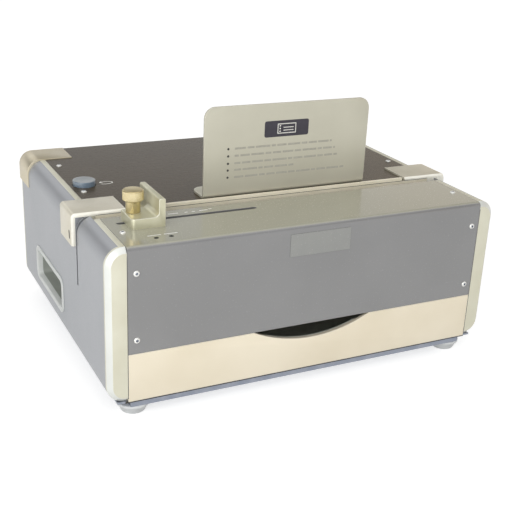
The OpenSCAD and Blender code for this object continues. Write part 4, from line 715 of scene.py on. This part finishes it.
# marks on the rocker's face: a bar on the upper half and a turned ring on the lower one, tilted with it
rockerMark = {"axis": (163.0, 65.0), "tilt": 6.0, "slope": 1.27, "out": 6.9, "up": 4.5, "x": 96.0,
    "bar": (0, 0, 0.9, 4.6, 0.3), "ring": (1.5, 2.3), "columns": 32}
tilt, out = math.radians(rockerMark["tilt"]), rockerMark["out"]
axisY, axisZ = rockerMark["axis"]
for name, half in (("rockerOnMark", 1), ("rockerOffMark", -1)):
    lean, rise = math.radians(rockerMark["tilt"] - half * rockerMark["slope"]), half * rockerMark["up"]
    spot = np.array([rockerMark["x"], axisY + out * math.cos(tilt) - rise * math.sin(tilt),
        axisZ + out * math.sin(tilt) + rise * math.cos(tilt)])
    along, up = np.array([-1.0, 0, 0]), np.array([0, -math.sin(lean), math.cos(lean)])
    if half > 0:
        printMarks(name, [rockerMark["bar"]], spot, along, up, "whiteInk", "grip_plastic", "rocker")
    else:
        innerR, outerR = rockerMark["ring"]
        flatRing = np.array([(innerR, 0), (outerR, 0), (outerR, inkFilm), (innerR, inkFilm)])
        faceTurn = np.stack([along, up, np.cross(along, up)], 1)
        makePiece(name, [around(turned(flatRing, spot, rockerMark["columns"], faceTurn), wrapRows=True)],
            "rocker", ["whiteInk"])

# dark strips of painted shade: one along each side frame's front edge for the shade in the seam, one on the
# base pan's rim, front and rear, for the shadow under the drawer, and a thin one on the throat's back plate
# for the shade inside the throat; each is a block between two planes along X, Y and Z, given from the edge
# that it lies on, in mm
shadeStrips = {"seamShadeX": (0, 0.55), "seamShadeY": (-0.06, 1.0), "seamShadeZ": (24.0, 172.0), "panShadeX": (-202.0, 202.0),
    "panShadeY": (-0.2, 0.5), "panShadeZ": (-2.3, -0.05), "throatShadeX": (-199.0, 199.0), "throatShadeY": (-0.2, 0.1),
    "throatShadeZ": (-1.75, -1.35)}
seamShadeX, panTop = corners("front_cover")[1][0], corners("base_pan")[1]
backY = corners("throat_back_plate")[0][1]
blocks = [(sign * np.add(seamShadeX, shadeStrips["seamShadeX"]), np.add(frontY, shadeStrips["seamShadeY"]), shadeStrips["seamShadeZ"])
    for sign in (-1, 1)]
blocks += [(shadeStrips["panShadeX"], sign * np.add(panTop[1], shadeStrips["panShadeY"]), np.add(panTop[2], shadeStrips["panShadeZ"]))
    for sign in (-1, 1)]
blocks += [(shadeStrips["throatShadeX"], np.add(backY, shadeStrips["throatShadeY"]), np.add(top, shadeStrips["throatShadeZ"]))]
pick = np.array([[(0, 0, z), (1, 0, z), (1, 1, z), (0, 1, z)] for z in (0, 1)])
makePiece("paintedShadeStrips", [tube(np.where(pick, high, low))
    for low, high in np.array(blocks).transpose(0, 2, 1)], "case", ["shadeStripBlack"])

# bare plate on the front cover, a thin slab with round corners
frontPlate = {"at": (2.5, 160.0), "width": 69.0, "height": 24.0, "corner": 1.0, "thickness": 0.4,
    "sunk": 0.2}
ring = roundRing(frontPlate["width"], frontPlate["height"], frontPlate["corner"], steps=4) + frontPlate["at"]
slab = np.stack([np.insert(ring, 1, frontY + y, 1) for y in (frontPlate["sunk"], -frontPlate["thickness"])])
makePiece("frontBarePlate", [tube(slab)], "case", ["plateGreyPaint"])

# contact blades of the mains inlet, rounded slabs with narrowed tips over the moulded pins
inlet = {"step": 7.0, "rise": 2.0, "width": 2.3, "height": 4.3, "corner": 0.5, "length": 19.0,
    "behind": 3.2, "tipLength": 0.6, "tipShare": 0.8}
lo, hi = corners("power_inlet")
tipY = rearY - inlet["behind"]
blade = roundRing(inlet["width"], inlet["height"], inlet["corner"], steps=4)
rows = ((1, tipY - inlet["length"]), (1, tipY - inlet["tipLength"]), (inlet["tipShare"], tipY))
places = np.array([(-1, -1), (0, 1), (1, -1)]) * (inlet["step"], inlet["rise"]) + (lo + hi)[::2] / 2
blades = [tube(np.stack([np.insert(blade * share + at, 1, y, 1) for share, y in rows])) for at in places]
makePiece("inletBlades", blades, "case", ["nickelPlatedSteel"])
print("prints and small fittings made")

# camera from the solved view: yaw, pitch and roll in degrees, place in metres, lens and sensor in mm
shot = {"place": (-0.4461, -0.9189, 0.4903), "yaw": 26.73, "pitch": 21.84, "roll": 2.56, "lens": 65.42,
    "sensor": 36.0}
yaw, pitch, roll = (math.radians(shot[key]) for key in ("yaw", "pitch", "roll"))
forward = Vector((math.sin(yaw) * math.cos(pitch), math.cos(yaw) * math.cos(pitch), -math.sin(pitch)))
level = Vector((math.cos(yaw), -math.sin(yaw), 0))
upward = level.cross(forward)
right = math.cos(roll) * level + math.sin(roll) * upward
above = -math.sin(roll) * level + math.cos(roll) * upward
turn = Matrix((right, above, -forward)).transposed().to_4x4()
camera = bpy.data.objects.new("photoCamera", bpy.data.cameras.new("photoCamera"))
camera.data.sensor_width = shot["sensor"]
camera.data.lens = shot["lens"]
camera.matrix_world = Matrix.Translation(shot["place"]) @ turn
scene.collection.objects.link(camera)
scene.camera = camera

# white studio: a pale wall all round, taller on the right, that dims overhead; the eye sees plain white
# past the floor, and a reflection a warmer wall on the right and a soft box behind;
# each sun has a direction, a strength, a width in degrees, and whether it shows in reflections
studio = {"sky": 0.6, "shown": 1.0, "overhead": 0.3, "wallTop": (0.05, 0.42), "wallLean": 0.08,
    "warmSide": (0.44, 0.58), "warmTint": "#FFF5E8",
    "softbox": {"toward": (-0.08, 0.85, 0.47), "edge": (0.95, 0.99), "strength": 0.9},
    "floor": {"colour": "#C4C4C3", "lift": 0.66, "reach": 12.0, "rough": 0.9, "gloss": 0.1},
    "panel": {"place": (-1.0, -0.9, 0.62), "aim": (0.0, -0.05, 0.1), "size": 1.2, "watts": 10.4},
    "suns": [("topSun", (0.05, -0.12, 1.0), 0.95, 80, True), ("fillSun", (0.2, -0.9, 0.4), 0.75, 90, False),
        ("rearSun", (0.35, 0.85, 0.2), 0.7, 90, False)]}
scene.view_settings.view_transform = "Standard"
world = bpy.data.worlds.new("whiteStudio")
scene.world = world
sky = emptyTree(world)


# one where the ray is the eye's, and one where it is the eye's or a reflection's or passes through glass
def seenRay(tree):
    path = addNode(tree, "ShaderNodeLightPath").outputs
    bent = addNode(tree, "ShaderNodeMath", None, {0: path["Is Glossy Ray"], 1: path["Is Transmission Ray"]},
        operation="MAXIMUM")
    either = addNode(tree, "ShaderNodeMath", None, {0: path["Is Camera Ray"], 1: bent.outputs[0]},
        operation="MAXIMUM")
    return path["Is Camera Ray"], either.outputs[0]


eye, seen = seenRay(sky)
mirrored = addNode(sky, "ShaderNodeMath", None, {0: seen, 1: eye}, operation="SUBTRACT").outputs[0]
outward = addNode(sky, "ShaderNodeTexCoord").outputs["Generated"]
heading = addNode(sky, "ShaderNodeSeparateXYZ", None, {0: outward}).outputs
height = addNode(sky, "ShaderNodeMath", {1: -studio["wallLean"]}, {0: heading["X"], 2: heading["Z"]},
    operation="MULTIPLY_ADD")
dimmed = addNode(sky, "ShaderNodeMapRange", {**fromRange(studio["wallTop"]), "To Min": 1.0,
    "To Max": studio["overhead"]}, {"Value": height.outputs[0]}, interpolation_type="SMOOTHSTEP")
strength = addNode(sky, "ShaderNodeMapRange", {"To Min": studio["sky"], "To Max": studio["shown"]},
    {"Value": seen})
lit = addNode(sky, "ShaderNodeMath", None, {0: dimmed.outputs["Result"], 1: strength.outputs["Result"]},
    operation="MULTIPLY")
box = studio["softbox"]
aimed = addNode(sky, "ShaderNodeVectorMath", {1: Vector(box["toward"]).normalized()}, {0: outward},
    operation="DOT_PRODUCT")
boxGlow = addNode(sky, "ShaderNodeMapRange", {**fromRange(box["edge"]), "To Max": box["strength"]},
    {"Value": aimed.outputs["Value"]}, interpolation_type="SMOOTHSTEP")
withBox = addNode(sky, "ShaderNodeMath", None, {0: boxGlow.outputs["Result"], 1: mirrored,
    2: lit.outputs[0]}, operation="MULTIPLY_ADD")
shown = addNode(sky, "ShaderNodeMix", {3: studio["shown"]}, {0: eye, 2: withBox.outputs[0]},
    data_type="FLOAT")
rightward = addNode(sky, "ShaderNodeMapRange", fromRange(studio["warmSide"]), {"Value": heading["X"]},
    interpolation_type="SMOOTHSTEP")
warmth = addNode(sky, "ShaderNodeMath", None, {0: rightward.outputs["Result"], 1: mirrored},
    operation="MULTIPLY")
wallTone = addNode(sky, "ShaderNodeMix", {6: (1, 1, 1, 1), 7: fromHex(studio["warmTint"])},
    {0: warmth.outputs[0]}, data_type="RGBA")
glow = addNode(sky, "ShaderNodeBackground", None, {"Color": wallTone.outputs[2],
    "Strength": shown.outputs[0]})
addNode(sky, "ShaderNodeOutputWorld", None, {"Surface": glow.outputs["Background"]})


# a lamp that shines from the direction toward it
def addLamp(name, kind, toward, energy):
    lamp = bpy.data.objects.new(name, bpy.data.lights.new(name, kind))
    lamp.data.energy = energy
    lamp.rotation_mode = "QUATERNION"
    lamp.rotation_quaternion = Vector(toward).to_track_quat("Z", "Y")
    scene.collection.objects.link(lamp)
    return lamp


for name, toward, energy, spread, glare in studio["suns"]:
    sun = addLamp(name, "SUN", toward, energy)
    sun.data.angle = math.radians(spread)
    sun.visible_glossy = glare
place = Vector(studio["panel"]["place"])
panel = addLamp("keyPanel", "AREA", place - Vector(studio["panel"]["aim"]), studio["panel"]["watts"])
panel.data.size = studio["panel"]["size"]
panel.location = place
panel.visible_camera = False

# floor: one wide flat sheet of matt white board, lifted to white for the eye and in reflections
board = studio["floor"]
floorMesh = bpy.data.meshes.new("studioFloor")
floorMesh.from_pydata([(x * board["reach"], y * board["reach"], 0)
    for x, y in ((-1, -1), (1, -1), (1, 1), (-1, 1))], [], [(0, 1, 2, 3)])
floor = bpy.data.objects.new("studioFloor", floorMesh)
scene.collection.objects.link(floor)
boardFinish = bpy.data.materials.new("mattWhiteBoard")
boardTree = emptyTree(boardFinish)
lifted = addNode(boardTree, "ShaderNodeMath", {1: board["lift"]}, {0: seenRay(boardTree)[1]},
    operation="MULTIPLY")
boardFace = addNode(boardTree, "ShaderNodeBsdfPrincipled", {"Base Color": fromHex(board["colour"]),
    "Roughness": board["rough"], "Specular IOR Level": board["gloss"], "Emission Color": (1, 1, 1, 1)},
    {"Emission Strength": lifted.outputs[0]})
addNode(boardTree, "ShaderNodeOutputMaterial", None, {"Surface": boardFace.outputs["BSDF"]})
floorMesh.materials.append(boardFinish)
print("camera, light and floor set")
